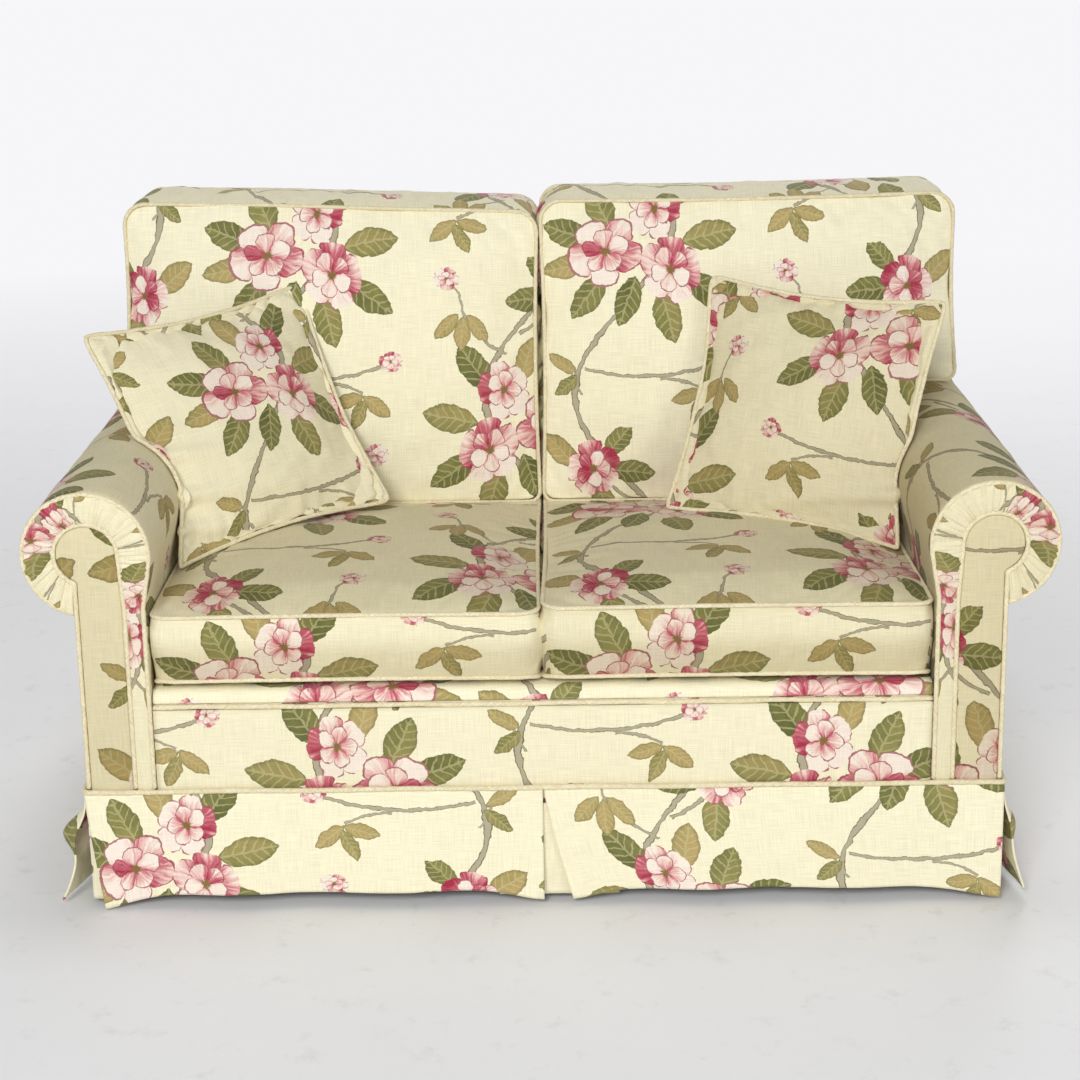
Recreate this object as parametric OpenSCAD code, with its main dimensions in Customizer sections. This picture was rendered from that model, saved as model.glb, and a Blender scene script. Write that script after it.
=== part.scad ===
// Two seater sofa with scroll arms, loose seat and back cushions, two scatter cushions
// and a tailored cover with a kick pleat skirt.
// X runs across, Y runs from front to back, Z is up. The origin lies on the floor under
// the centre of the sofa. Left and right are as seen from the front.

/* [Overall] */
// Width over the two arm scrolls
overall_w = 1550; // [1450:10:1800]
// Depth from the skirt hem to the top of the back
overall_d = 920; // [880:10:1000]
// Height of the upholstered back
back_h = 850; // [820:5:900]
// Height of the timber frame above the floor
frame_z = 95; // [80:1:120]
// Height of the springs and their filling, from the rails' top edge to the platform
deck_fill = 53; // [48:1:60]

/* [Arms] */
// Height of the arm at the top of the scroll
arm_h = 672; // [650:1:700]
// Radius of the arm scroll
scroll_r = 98; // [90:1:104]
// How far the scroll stands out past the arm's outer face
scroll_overhang = 75; // [65:1:82]
// Width of the arm below the scroll
arm_w = 108; // [100:1:116]
// Radius of the disc at the head of the keyhole facing
facing_disc_r = 48; // [42:1:54]
// Width of the keyhole facing's stem
facing_stem_w = 76; // [68:1:84]
// Thickness of the scroll boards at the arm fronts
arm_board_t = 18; // [15:1:25]
// Number of gathers round each arm scroll
gathers = 33; // [20:1:40]

/* [Seat] */
// Height of the platform that the seat cushions lie on
deck_h = 353; // [348:1:365]
// Height of the seat cushions' boxing
seat_box_h = 120; // [100:1:135]
// Rise of the seat cushions' crown above the top seam
seat_crown = 26; // [10:1:34]
// Gap left between the two seat cushions
cushion_gap = 3; // [2:0.5:8]

/* [Back] */
// Depth of the back frame and its stuffing at platform height
back_depth = 191; // [180:1:200]
// Lean of the inside back, in degrees
back_rake = 12; // [10:0.5:13]
// Lean of the outside back, in degrees
outside_rake = 5; // [3:0.5:6]
// Height of the back cushions' top seam
back_cushion_top = 992; // [950:1:1010]
// Boxing width of the back cushions
back_cushion_t = 180; // [150:1:190]
// Rise of the back cushions' front crown
back_crown = 48; // [20:1:55]
// How far the ears of the back cushions reach from the centre
ear_reach = 727; // [700:1:745]

/* [Scatter cushions] */
// Side of the square scatter cushions
scatter_w = 418; // [380:2:430]
// Thickness of the scatter cushions at the middle
scatter_t = 120; // [90:1:130]

/* [Skirt] */
// Height of the skirt's top edge
skirt_top = 190; // [180:1:200]
// Height of the hem above the floor
hem_z = 12; // [8:1:25]
// How far the front hem stands out past the skirt's top
skirt_flare = 10.5; // [6:0.5:14]
// How far the side hems stand out at the corners
side_flare = 30; // [15:1:40]
// Number of soft folds along each front panel
front_folds = 3; // [2:1:4]

/* [Cloth and trim] */
// Thickness of the cover with its wadding
cover_t = 3; // [2:0.5:4]
// Thickness of the lined skirt cloth
skirt_t = 3.5; // [2.5:0.5:4.5]
// Radius of the piping
piping_r = 4; // [3:0.5:5]
// Thickness of the padded panels at the front
panel_t = 6; // [5:0.5:8]

/* [Timber] */
// Thickness of the seat rails
rail_t = 25; // [20:1:30]
// Width of the back posts across the sofa
post_w = 32; // [26:1:36]
// Depth of the back posts from front to back
post_d = 50; // [42:1:56]
// Leg length of the triangular corner blocks
block_leg = 100; // [80:1:120]

/* [Springs and feet] */
// Number of zigzag springs
spring_count = 6; // [4:1:8]
// Wire diameter of the zigzag springs
wire_d = 4; // [3:0.5:4.5]
// Pitch of the zigzag
spring_pitch = 64; // [50:2:80]
// Width of one zigzag spring
spring_w = 60; // [50:1:70]
// Height of the plastic foot glides
glide_h = 5; // [3:1:8]
// Foot radius at the top
foot_r = 28; // [22:1:32]
// Number of back webbing straps
strap_count = 5; // [4:1:7]
// Width of a webbing strap
strap_w = 50; // [40:1:60]

/* [Hidden] */
$fn = 64;

piping_fn = 20;

left = -1;
right = 1;
cream = "#ece3c4";
timber = "#b98d58";
steel = "#8d9094";
calico = "#f3efe2";
webbing_colour = "#4a4540";

// Arm section, in a view from the front
rail_top = deck_h - deck_fill;
arm_out = overall_w / 2 - scroll_overhang;
arm_in = arm_out - arm_w;
scroll_x = overall_w / 2 - scroll_r;
scroll_z = arm_h - scroll_r;
taper_drop = 84;
taper_z = scroll_z - taper_drop;
scroll_low_z = scroll_z - sqrt(pow(scroll_r, 2) - pow(arm_out - scroll_x, 2));
facing_x = arm_out - facing_stem_w;

// Places from front to back
face_y = -overall_d / 2 + skirt_flare + skirt_t;
board_y = face_y + panel_t;
border_recess = 2;
border_t = 10;
rail_y = face_y + border_recess + border_t;
skirt_lap = 25;
roll_r = (back_depth - (back_h - deck_h) * tan(back_rake)) * cos(back_rake)
    / (1 + cos(back_rake) - sin(back_rake));
roll_y = overall_d / 2 - roll_r;
roll_z = back_h - roll_r;
post_inset = 8;
post_y = outside_y(frame_z) - post_inset - post_d;
arm_end_y = post_y + 45;
back_rail_y = post_y + 18;
stuffing_z = rail_top + 12;

// Seat and cushions
rest_gap = 0.4;
deck_pad_top = deck_h - rest_gap;
seat_seam_z = deck_h + seat_box_h;
seat_back_y = inside_y(deck_h) - 7;
press_y = inside_y(seat_seam_z) - back_cushion_t - back_crown - 16;
seat_front_y = face_y + 5;
side_gap = 1.5;
back_cushion_z = seat_seam_z + rest_gap;
arm_clear = 2;
cushion_travel = 250;

// Frame members
rail_x = arm_out - cover_t - rail_t;
post_x = arm_out - cover_t - post_w;
top_rail = [45, 32];
top_rail_z = scroll_z + 32;
tack_rail_h = 30;
back_rail_h = 50;
foot_x = rail_x - 36;
front_foot_y = rail_y + rail_t + 34;
rear_foot_y = back_rail_y - 34;
glide_r = 14;
dust_t = 2;

function inside_y(z) = overall_d / 2 - back_depth + (z - deck_h) * tan(back_rake);
function outside_y(z) = overall_d / 2 - (roll_z - z) * tan(outside_rake);

// Angle at which a line from point p touches a circle of radius r round the scroll's centre
function touch_angle(p, r) =
    let (d = p - [scroll_x, scroll_z])
    atan2(d[1], d[0]) - acos(r / norm(d));
function scroll_point(r, a) = [scroll_x + r * cos(a), scroll_z + r * sin(a)];

module along_x(x0, x1) {
    translate([x0, 0, 0]) rotate([90, 0, 90]) linear_extrude(x1 - x0) children();
}

module along_y(y0, y1) {
    translate([0, y1, 0]) rotate([90, 0, 0]) linear_extrude(y1 - y0) children();
}

module on_side(side) {
    if (side == right) children();
    else mirror([1, 0, 0]) children();
}

module both_sides() {
    for (side = [left, right]) on_side(side) children();
}

// Outline of an arm seen from the front, drawn in by inset all round
module arm_outline(inset, low_z) {
    foot = [arm_in + inset, taper_z];
    circle_r = scroll_r - inset;
    translate([scroll_x, scroll_z]) circle(r = circle_r);
    polygon([
        [foot[0], low_z], [arm_out - inset, low_z], [arm_out - inset, scroll_z],
        [scroll_x, scroll_z], scroll_point(circle_r, touch_angle(foot, circle_r)), foot
    ]);
}

// Keyhole outline of the facing, grown by grow all round
module keyhole(grow, low_z) {
    foot = [facing_x - grow, taper_z];
    circle_r = facing_disc_r + grow;
    translate([scroll_x, scroll_z]) circle(r = circle_r);
    polygon([
        [foot[0], low_z], [arm_out - piping_r + grow, low_z],
        [arm_out - piping_r + grow, scroll_z], [scroll_x, scroll_z],
        scroll_point(circle_r, touch_angle(foot, circle_r)), foot
    ]);
}

// Straight length of piping between two points of a plane y = constant
module piping_rod(p, q, y) {
    slope = atan2(q[1] - p[1], q[0] - p[0]);
    translate([p[0], y, p[1]]) rotate([0, 90 - slope, 0])
        cylinder(r = piping_r, h = norm(q - p), $fn = piping_fn);
}

module piping_knot(p, y) {
    translate([p[0], y, p[1]]) sphere(r = piping_r, $fn = piping_fn);
}

// Arc of piping round the scroll's centre
module piping_arc(r, a0, a1, y) {
    translate([scroll_x, y, scroll_z]) rotate([90, 0, 0]) rotate([0, 0, a0])
        rotate_extrude(angle = a1 - a0) translate([r, 0]) circle(r = piping_r, $fn = piping_fn);
}

// Section of the back from the side, drawn in by inset. Its front line touches the top roll
module back_section(inset, low_z) {
    roll = [roll_y, roll_z];
    translate(roll) circle(r = roll_r - inset);
    polygon([
        [inside_y(low_z) + inset / cos(back_rake), low_z], [outside_y(low_z) - inset, low_z],
        [outside_y(roll_z) - inset, roll_z], roll,
        roll + (roll_r - inset) * [-cos(back_rake), sin(back_rake)]
    ]);
}

// Timber frame

module front_rail() {
    color(timber) translate([-arm_in - cover_t, rail_y, frame_z])
        cube([2 * (arm_in + cover_t), rail_t, rail_top - frame_z]);
}

module back_rail() {
    color(timber) translate([-post_x, back_rail_y, frame_z])
        cube([2 * post_x, rail_t, rail_top - frame_z]);
}

module side_rail(side) {
    color(timber) on_side(side)
        translate([rail_x, board_y + arm_board_t, frame_z])
            cube([rail_t, post_y - board_y - arm_board_t, rail_top - frame_z]);
}

module centre_stretcher() {
    stretcher_w = 40;
    stretcher_h = 65;
    front = rail_y + rail_t;
    color(timber) translate([-stretcher_w / 2, front, frame_z])
        cube([stretcher_w, back_rail_y - front, stretcher_h]);
}

module corner_blocks() {
    block_h = 80;
    front = rail_y + rail_t;
    color(timber) both_sides() translate([0, 0, frame_z]) {
        linear_extrude(block_h) polygon([
            [rail_x, front], [rail_x, front + block_leg], [rail_x - block_leg, front]
        ]);
        linear_extrude(block_h) polygon([
            [post_x, back_rail_y], [post_x, back_rail_y - block_leg],
            [post_x - block_leg, back_rail_y]
        ]);
    }
}

module arm_board(side) {
    color(timber) on_side(side)
        along_y(board_y, board_y + arm_board_t) arm_outline(cover_t, frame_z);
}

module arm_rails(side) {
    front = board_y + arm_board_t;
    color(timber) on_side(side) {
        translate([scroll_x - top_rail[0] / 2, front, top_rail_z])
            cube([top_rail[0], post_front_y(top_rail_z) - front, top_rail[1]]);
        translate([arm_in + 8, front, stuffing_z])
            cube([rail_t, back_rail_y - front, tack_rail_h]);
    }
}

function post_front_y(z) = outside_y(z) - post_inset - post_d;

module back_post(side) {
    top_z = roll_z - 4;
    color(timber) on_side(side) along_x(post_x, post_x + post_w) polygon([
        [post_y, frame_z], [outside_y(frame_z) - post_inset, frame_z],
        [outside_y(top_z) - post_inset, top_z], [post_front_y(top_z), top_z],
        [post_front_y(rail_top), rail_top]
    ]);
}

// The rail that the back webbing is stretched over at the top
back_rail_top_z = roll_z - 12;
back_top_rail_y = post_front_y(back_rail_top_z) + 2;
tack_z = stuffing_z + 18;

module back_top_rail() {
    color(timber) translate([-post_x, back_top_rail_y, back_rail_top_z - back_rail_h])
        cube([2 * post_x, rail_t, back_rail_h]);
}

module back_tack_rail() {
    color(timber) translate([-post_x, back_rail_y, tack_z])
        cube([2 * post_x, rail_t, tack_rail_h]);
}

// Feet under the corner blocks

module tapered_foot(y) {
    translate([foot_x, y, glide_h]) cylinder(r1 = foot_r * 0.72, r2 = foot_r, h = frame_z - glide_h);
}

module front_feet() {
    color(timber) both_sides() tapered_foot(front_foot_y);
}

module rear_feet() {
    color(timber) both_sides() tapered_foot(rear_foot_y);
}

module foot_glides() {
    color("#2b2b2b") both_sides() for (y = [front_foot_y, rear_foot_y])
        translate([foot_x, y, 0]) cylinder(r = glide_r, h = glide_h);
}

module dust_cloth() {
    hole_r = foot_r + 3;
    front = rail_y + 4;
    color("#26262a") difference() {
        translate([-rail_x - 20, front, frame_z - dust_t])
            cube([2 * (rail_x + 20), back_rail_y + rail_t - front, dust_t]);
        both_sides() for (y = [front_foot_y, rear_foot_y])
            translate([foot_x, y, frame_z - 2 * dust_t]) cylinder(r = hole_r, h = 3 * dust_t);
    }
}

// Springs and webbing

spring_front = rail_y + 12;
spring_back = back_rail_y + 14;
bends = floor((spring_back - spring_front) / spring_pitch);
bend_step = (spring_back - spring_front) / bends;

// One zigzag spring lying flat, from front to back, bend after bend
module zigzag() {
    bend_r = bend_step / 2;
    bar = spring_w / 2 - bend_r;
    for (i = [0:bends - 1]) {
        turn = i % 2 == 0 ? 1 : -1;
        translate([turn * bar, (i + 0.5) * bend_step]) intersection() {
            difference() {
                circle(r = bend_r + wire_d / 2);
                circle(r = bend_r - wire_d / 2);
            }
            translate([turn > 0 ? 0 : -spring_w, -spring_w]) square([spring_w, 2 * spring_w]);
        }
        if (i > 0) translate([-bar, i * bend_step - wire_d / 2]) square([2 * bar, wire_d]);
    }
    for (y = [0, bends * bend_step]) {
        turn = y == 0 || bends % 2 == 1 ? 1 : -1;
        translate([turn > 0 ? -bar : -bar, y - wire_d / 2]) square([2 * bar, wire_d]);
    }
}

function spring_x(i) = (i - (spring_count - 1) / 2) * 2 * arm_in / spring_count;

module seat_springs() {
    color(steel) for (i = [0:spring_count - 1])
        translate([spring_x(i), spring_front, rail_top]) linear_extrude(wire_d) zigzag();
}

module spring_clips() {
    clip = [24, 7];
    color(steel) for (i = [0:spring_count - 1]) {
        translate([spring_x(i) - clip[0] / 2, spring_front - wire_d / 2 - clip[1], rail_top])
            cube([clip[0], clip[1], wire_d]);
        translate([spring_x(i) - clip[0] / 2, spring_back + wire_d / 2, rail_top])
            cube([clip[0], clip[1], wire_d]);
    }
}

// Straps that touch the tacking rail's and the top rail's upper front edges. room is the
// hollow left behind them
module back_straps(room) {
    strap_t = 2;
    low = [back_rail_y, tack_z + tack_rail_h];
    high = [back_top_rail_y, back_rail_top_z];
    slope = (high[0] - low[0]) / (high[1] - low[1]);
    end = [low[0] - tack_rail_h * slope, tack_z];
    step = 2 * (post_x - 50) / strap_count;
    for (i = [0:strap_count - 1]) {
        x = (i - (strap_count - 1) / 2) * step;
        along_x(x - strap_w / 2, x + strap_w / 2) polygon([
            [end[0] - strap_t, end[1]], [end[0] + room, end[1]],
            [high[0] + room, high[1]], [high[0] - strap_t, high[1]]
        ]);
    }
}

module back_webbing() {
    color(webbing_colour) back_straps(0);
}

module timber_in_stuffing() {
    for (side = [left, right]) {
        back_post(side);
        arm_rails(side);
    }
    back_top_rail();
    back_tack_rail();
}

// Platform and front

lip_back = rail_y + rail_t + 14;
panel_x = arm_in - 0.5;

module seat_platform() {
    back = inside_y(stuffing_z) - 1;
    low = rail_top + wire_d;
    color(calico) translate([-panel_x, lip_back, low])
        cube([2 * panel_x, back - lip_back, deck_pad_top - low]);
}

module platform_lip() {
    nose_r = 14;
    nose_y = rail_y - 4;
    low = rail_top + wire_d;
    nose_low = border_top + 2 * piping_r + 1;
    color(cream) along_x(-panel_x, panel_x) {
        translate([nose_y + nose_r, deck_pad_top - nose_r]) circle(r = nose_r);
        polygon([
            [lip_back, low], [lip_back, deck_pad_top], [nose_y + nose_r, deck_pad_top],
            [nose_y + nose_r, deck_pad_top - nose_r], [nose_y, deck_pad_top - nose_r],
            [nose_y, nose_low], [rail_y, nose_low], [rail_y, low]
        ]);
    }
}

border_top = deck_h - 31;

module front_border() {
    low = skirt_top - skirt_lap;
    color(cream) translate([-panel_x, rail_y - border_t, low])
        cube([2 * panel_x, border_t, border_top - low]);
}

module border_piping() {
    color(cream) translate([-panel_x, rail_y - piping_r, border_top + piping_r + 0.5])
        rotate([0, 90, 0]) cylinder(r = piping_r, h = 2 * panel_x);
}

// Arms

module arm_pad(side) {
    color(calico) difference() {
        on_side(side) along_y(board_y + arm_board_t, arm_end_y - cover_t)
            arm_outline(cover_t, rail_top);
        timber_in_stuffing();
    }
}

module arm_cover(side) {
    low = stuffing_z;
    color(cream) difference() {
        on_side(side) difference() {
            along_y(board_y, arm_end_y) arm_outline(0, low);
            along_y(board_y - 1, arm_end_y - cover_t) arm_outline(cover_t, low - 1);
            outside_arm_slab(low - 1);
        }
        timber_in_stuffing();
    }
}

module outside_arm_slab(low) {
    along_x(arm_out - cover_t, arm_out) polygon([
        [board_y, low], [outside_y(low) - cover_t, low],
        [outside_y(scroll_low_z) - cover_t, scroll_low_z], [board_y, scroll_low_z]
    ]);
}

module outside_arm(side) {
    color(cream) on_side(side) outside_arm_slab(frame_z);
}

module arm_facing(side) {
    color(cream) on_side(side)
        along_y(face_y, board_y) keyhole(-piping_r, skirt_top - skirt_lap);
}

// Gathered band round the scroll, which runs on as a plain strip down the arm's inner edge
module arm_ruche(side) {
    band_t = 3.4;
    gather_r = 4.4;
    low = skirt_top - skirt_lap;
    start = 184;
    finish = -60;
    inner_r = facing_disc_r + piping_r + 1.4;
    outer_r = scroll_r - 2 * piping_r - 1.4;
    color(cream) on_side(side) {
        along_y(board_y - band_t, board_y) difference() {
            arm_outline(2 * piping_r, low);
            keyhole(piping_r, low - 1);
        }
        for (i = [0:gathers - 1]) {
            a = start + (finish - start) * i / (gathers - 1);
            p = scroll_point(inner_r, a);
            translate([p[0], board_y - gather_r, p[1]]) rotate([0, 90 - a, 0])
                cylinder(r1 = gather_r * 0.6, r2 = gather_r, h = outer_r - inner_r);
        }
    }
}

// Piping round the keyhole facing and along the front edge of the arm roll
module arm_piping(side) {
    y = board_y - piping_r;
    low = skirt_top + 2 * piping_r;
    stem_x = arm_out - piping_r;
    key_foot = [facing_x, taper_z];
    key_touch = touch_angle(key_foot, facing_disc_r) + 360;
    key_end = -acos((stem_x - scroll_x) / facing_disc_r);
    roll_foot = [arm_in + piping_r, taper_z];
    edge_r = scroll_r - piping_r;
    roll_touch = touch_angle(roll_foot, edge_r) + 360;
    roll_end = -acos((stem_x - scroll_x) / edge_r);
    color(cream) on_side(side) {
        piping_rod([facing_x, low], key_foot, y);
        piping_knot(key_foot, y);
        piping_rod(key_foot, scroll_point(facing_disc_r, key_touch), y);
        piping_arc(facing_disc_r, key_end, key_touch, y);
        piping_knot(scroll_point(facing_disc_r, key_end), y);
        piping_rod([stem_x, low], scroll_point(facing_disc_r, key_end), y);
        piping_rod([roll_foot[0], low], roll_foot, y);
        piping_knot(roll_foot, y);
        piping_rod(roll_foot, scroll_point(edge_r, roll_touch), y);
        piping_arc(edge_r, roll_end, roll_touch, y);
    }
}

// Back

module back_pad() {
    inset = cover_t + rest_gap;
    color(calico) difference() {
        along_x(inset - arm_out, arm_out - inset) back_section(inset, stuffing_z);
        both_sides() along_y(board_y, arm_end_y) arm_outline(0, stuffing_z - 1);
        timber_in_stuffing();
        back_straps(8);
    }
}

// Covering of the back's front, its top roll and its two ends
module inside_back() {
    color(cream) difference() {
        along_x(-arm_out, arm_out) back_section(0, stuffing_z);
        along_x(cover_t - arm_out, arm_out - cover_t) back_section(cover_t, stuffing_z - 1);
        outside_back();
        both_sides() {
            along_y(board_y, arm_end_y) arm_outline(0, stuffing_z - 1);
            outside_arm_slab(stuffing_z - 1);
        }
    }
}

module outside_back() {
    color(cream) along_x(-arm_out, arm_out) polygon([
        [outside_y(frame_z) - cover_t, frame_z], [outside_y(frame_z), frame_z],
        [outside_y(roll_z), roll_z], [outside_y(roll_z) - cover_t, roll_z]
    ]);
}

// Closed solid through a stack of rings with equal numbers of points, where the rings are
// closed at each end by a middle point (tip) or by a strip between their two halves (flat)
module stack_of_rings(rings, ends, start_tip = [0, 0, 0], end_tip = [0, 0, 0]) {
    n = len(rings[0]);
    k = len(rings);
    walls = [for (j = [0:k - 2]) for (i = [0:n - 1]) each [
        [j * n + i, (j + 1) * n + (i + 1) % n, j * n + (i + 1) % n],
        [j * n + i, (j + 1) * n + i, (j + 1) * n + (i + 1) % n]
    ]];
    tips = [for (i = [0:n - 1]) each [
        [n * k, i, (i + 1) % n],
        [n * k + 1, (k - 1) * n + (i + 1) % n, (k - 1) * n + i]
    ]];
    last = (k - 1) * n;
    strips = [for (i = [0:n / 2 - 2]) each [
        [i, i + 1, n - 1 - i], [i + 1, n - 2 - i, n - 1 - i],
        [last + i, last + n - 1 - i, last + i + 1],
        [last + i + 1, last + n - 1 - i, last + n - 2 - i]
    ]];
    points = [for (ring = rings) each ring];
    if (ends == "tip")
        polyhedron(concat(points, [start_tip, end_tip]), concat(walls, tips));
    else
        polyhedron(points, concat(walls, strips));
}

// Straight run of an outline from p to q in n steps, pulled in by draw at its middle.
// The pull is to the left of the way from p to q.
function drawn_run(p, q, n, draw) =
    let (d = (q - p) / norm(q - p))
    [for (i = [1:n - 1])
        let (t = i / n) p + (q - p) * t + [-d[1], d[0]] * draw * sin(180 * t)];
function bend(c, r, a0, a1, n) = [for (i = [0:n]) c + r * [cos(a0 + (a1 - a0) * i / n), sin(a0 + (a1 - a0) * i / n)]];

// Boxed cushions. side_level gives each ring's place: its scale towards the middle of the
// outline, and its height from the underside (0) to the top seam (1), past which it is crown
ring_scales = [[0.5, 0], [0.86, 0], [0.985, 0], [1, 0.18], [1, 0.5], [1, 0.82], [0.985, 1],
    [0.93, 1], [0.8, 1], [0.55, 1], [0.28, 1]];
function bulge_at(level) = sin(180 * level);

// Seat cushion of the right hand side

seat_x0 = cushion_gap / 2;
seat_x1 = arm_in - side_gap;
seat_mid = [(seat_x0 + seat_x1) / 2, (seat_front_y + seat_back_y) / 2];
seat_draw = 4;
seat_corner_r = 30;
rear_corner_r = 14;

seat_plan = concat(
    drawn_run([seat_x0 + seat_corner_r, seat_front_y], [seat_x1 - seat_corner_r, seat_front_y], 9, seat_draw),
    bend([seat_x1 - seat_corner_r, seat_front_y + seat_corner_r], seat_corner_r, -90, 0, 3),
    drawn_run([seat_x1, seat_front_y + seat_corner_r], [seat_x1, seat_back_y - rear_corner_r], 9, seat_draw),
    bend([seat_x1 - rear_corner_r, seat_back_y - rear_corner_r], rear_corner_r, 0, 90, 2),
    drawn_run([seat_x1 - rear_corner_r, seat_back_y], [seat_x0 + rear_corner_r, seat_back_y], 6, 0),
    bend([seat_x0 + rear_corner_r, seat_back_y - rear_corner_r], rear_corner_r, 90, 180, 2),
    drawn_run([seat_x0, seat_back_y - rear_corner_r], [seat_x0, seat_front_y + seat_corner_r], 9, seat_draw),
    bend([seat_x0 + seat_corner_r, seat_front_y + seat_corner_r], seat_corner_r, 180, 270, 3)
);

// Crown of the seat over a plan point. It dies out where the back cushion presses the seat
function seat_rise(p) =
    let (u = (p[0] - seat_mid[0]) / (seat_x1 - seat_mid[0]),
         t = (p[1] - seat_front_y) / (press_y - seat_front_y))
    t <= 0 || t >= 1 || abs(u) >= 1 ? 0
        : seat_crown * pow(sin(180 * t), 0.7) * pow(1 - pow(abs(u), 3), 0.8);

function seat_place(p, level) =
    [p[0], p[1], deck_h + seat_box_h * level + (level == 1 ? seat_rise(p) : 0)];

module seat_solid() {
    rings = [for (s = ring_scales) [for (p = seat_plan) seat_place(seat_mid + (p - seat_mid) * s[0], s[1])]];
    stack_of_rings(rings, "tip", seat_place(seat_mid, 0), seat_place(seat_mid, 1));
}

module seat_core_block() {
    margin = 32;
    translate([seat_x0 + margin, seat_front_y + margin, deck_h + 14])
        cube([seat_x1 - seat_x0 - 2 * margin, seat_back_y - seat_front_y - 2 * margin, seat_box_h - 28]);
}

module seat_cushion(side) {
    color(cream) on_side(side) difference() {
        seat_solid();
        seat_core_block();
    }
}

module seat_core(side) {
    color("#e9dfa9") on_side(side) seat_core_block();
}

// Back cushion of the right hand side, shaped like an L with an ear over the arm.
// Its outline is drawn in a view from the front.

inner_edge = scroll_x - scroll_r - arm_clear;
ear_low = arm_h + arm_clear;
back_mid = [inner_edge * 0.57, (back_cushion_z + back_cushion_top) / 2 + 20];
back_draw = 5;
back_corner_r = 36;
back_low_r = 16;
notch_r = 18;

back_plan = concat(
    drawn_run([seat_x0 + back_low_r, back_cushion_z], [inner_edge - back_low_r, back_cushion_z], 8, 0),
    bend([inner_edge - back_low_r, back_cushion_z + back_low_r], back_low_r, -90, 0, 2),
    drawn_run([inner_edge, back_cushion_z + back_low_r], [inner_edge, ear_low - notch_r], 4, 0),
    bend([inner_edge + notch_r, ear_low - notch_r], notch_r, 180, 90, 2),
    drawn_run([inner_edge + notch_r, ear_low], [ear_reach - back_low_r, ear_low], 3, 0),
    bend([ear_reach - back_low_r, ear_low + back_low_r], back_low_r, -90, 0, 2),
    drawn_run([ear_reach, ear_low + back_low_r], [ear_reach, back_cushion_top - back_corner_r], 5, back_draw),
    bend([ear_reach - back_corner_r, back_cushion_top - back_corner_r], back_corner_r, 0, 90, 3),
    drawn_run([ear_reach - back_corner_r, back_cushion_top], [seat_x0 + back_corner_r, back_cushion_top], 10, back_draw),
    bend([seat_x0 + back_corner_r, back_cushion_top - back_corner_r], back_corner_r, 90, 180, 3),
    drawn_run([seat_x0, back_cushion_top - back_corner_r], [seat_x0, back_cushion_z + back_low_r], 7, back_draw)
);
back_start = bend([seat_x0 + back_low_r, back_cushion_z + back_low_r], back_low_r, 180, 270, 2);

// Forward swell of the front face over a point of the outline
function back_rise(p) =
    let (u = (p[0] - seat_x0) / (ear_reach - seat_x0),
         t = (p[1] - back_cushion_z) / (back_cushion_top - back_cushion_z))
    t <= 0 || t >= 1 || u <= 0 || u >= 1 ? 0
        : back_crown * pow(sin(180 * pow(t, 0.8)), 0.6) * pow(sin(180 * u), 0.5);

function back_place(p, level) =
    [p[0],
     inside_y(p[1]) - rest_gap - back_cushion_t * level - (level == 1 ? back_rise(p) : 0),
     p[1]];

module back_solid() {
    plan = concat(back_start, back_plan);
    rings = [for (s = ring_scales) [for (p = plan) back_place(back_mid + (p - back_mid) * s[0], s[1])]];
    stack_of_rings(rings, "tip", back_place(back_mid, 0), back_place(back_mid, 1));
}

module back_fill_block() {
    margin = 60;
    low = back_cushion_z + margin;
    high = back_cushion_top - margin;
    thick = back_cushion_t - 60;
    along_x(seat_x0 + margin, inner_edge - margin) polygon([
        [inside_y(low) - 30 - thick, low], [inside_y(low) - 30, low],
        [inside_y(high) - 30, high], [inside_y(high) - 30 - thick, high]
    ]);
}

module back_cushion(side) {
    color(cream) on_side(side) difference() {
        back_solid();
        back_fill_block();
    }
}

module back_fill(side) {
    color(calico) on_side(side) back_fill_block();
}

// Scatter cushions. Each is a knife edge square that leans on the back cushion and the arm.
// place: middle of the cushion. turn: its lean, given as turns about X, Y and Z.
scatter_place = [[-500, -44, 670], [440, -36, 675]];
scatter_turn = [[-33, -4, 38.7], [-25, 1.5, -27]];
scatter_steps = 10;
scatter_rings = [0.97, 0.88, 0.74, 0.52, 0.27];
scatter_pull = 0.07;
soft = 5;

// Rises to x where x is well above limit, and flattens out above limit where x is below it
function pressed(x, limit) =
    x - limit > 8 * soft ? x : limit + soft * ln(1 + exp((x - limit) / soft));

// Place beside or on the arm roll for a point that is x from the middle, in a front view
function arm_rest(x, z) =
    let (r = scroll_r + 3 * arm_clear, d = [x - scroll_x, z - scroll_z])
    z < scroll_z ? [scroll_x - r - pressed(scroll_x - r - x, 0), z]
        : [scroll_x, scroll_z] + d * pressed(norm(d), r) / norm(d);

function scatter_square(n) = [for (side = [0:3]) for (i = [0:n - 1])
    let (t = -1 + 2 * i / n)
    side == 0 ? [t, -1] : side == 1 ? [1, t] : side == 2 ? [-t, 1] : [-1, -t]];

// Point of the cushion before it leans: q is in the square from -1 to 1, face is -1 or 1
function scatter_point(q, face) =
    let (half = scatter_w / 2,
         swell = pow(max(0, (1 - q[0] * q[0]) * (1 - q[1] * q[1])), 0.55))
    [half * q[0] * (1 - scatter_pull * (1 - q[1] * q[1])),
     face * (scatter_t / 2 - 1) * swell + face * 1,
     half * q[1] * (1 - scatter_pull * (1 - q[0] * q[0]))];

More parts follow.
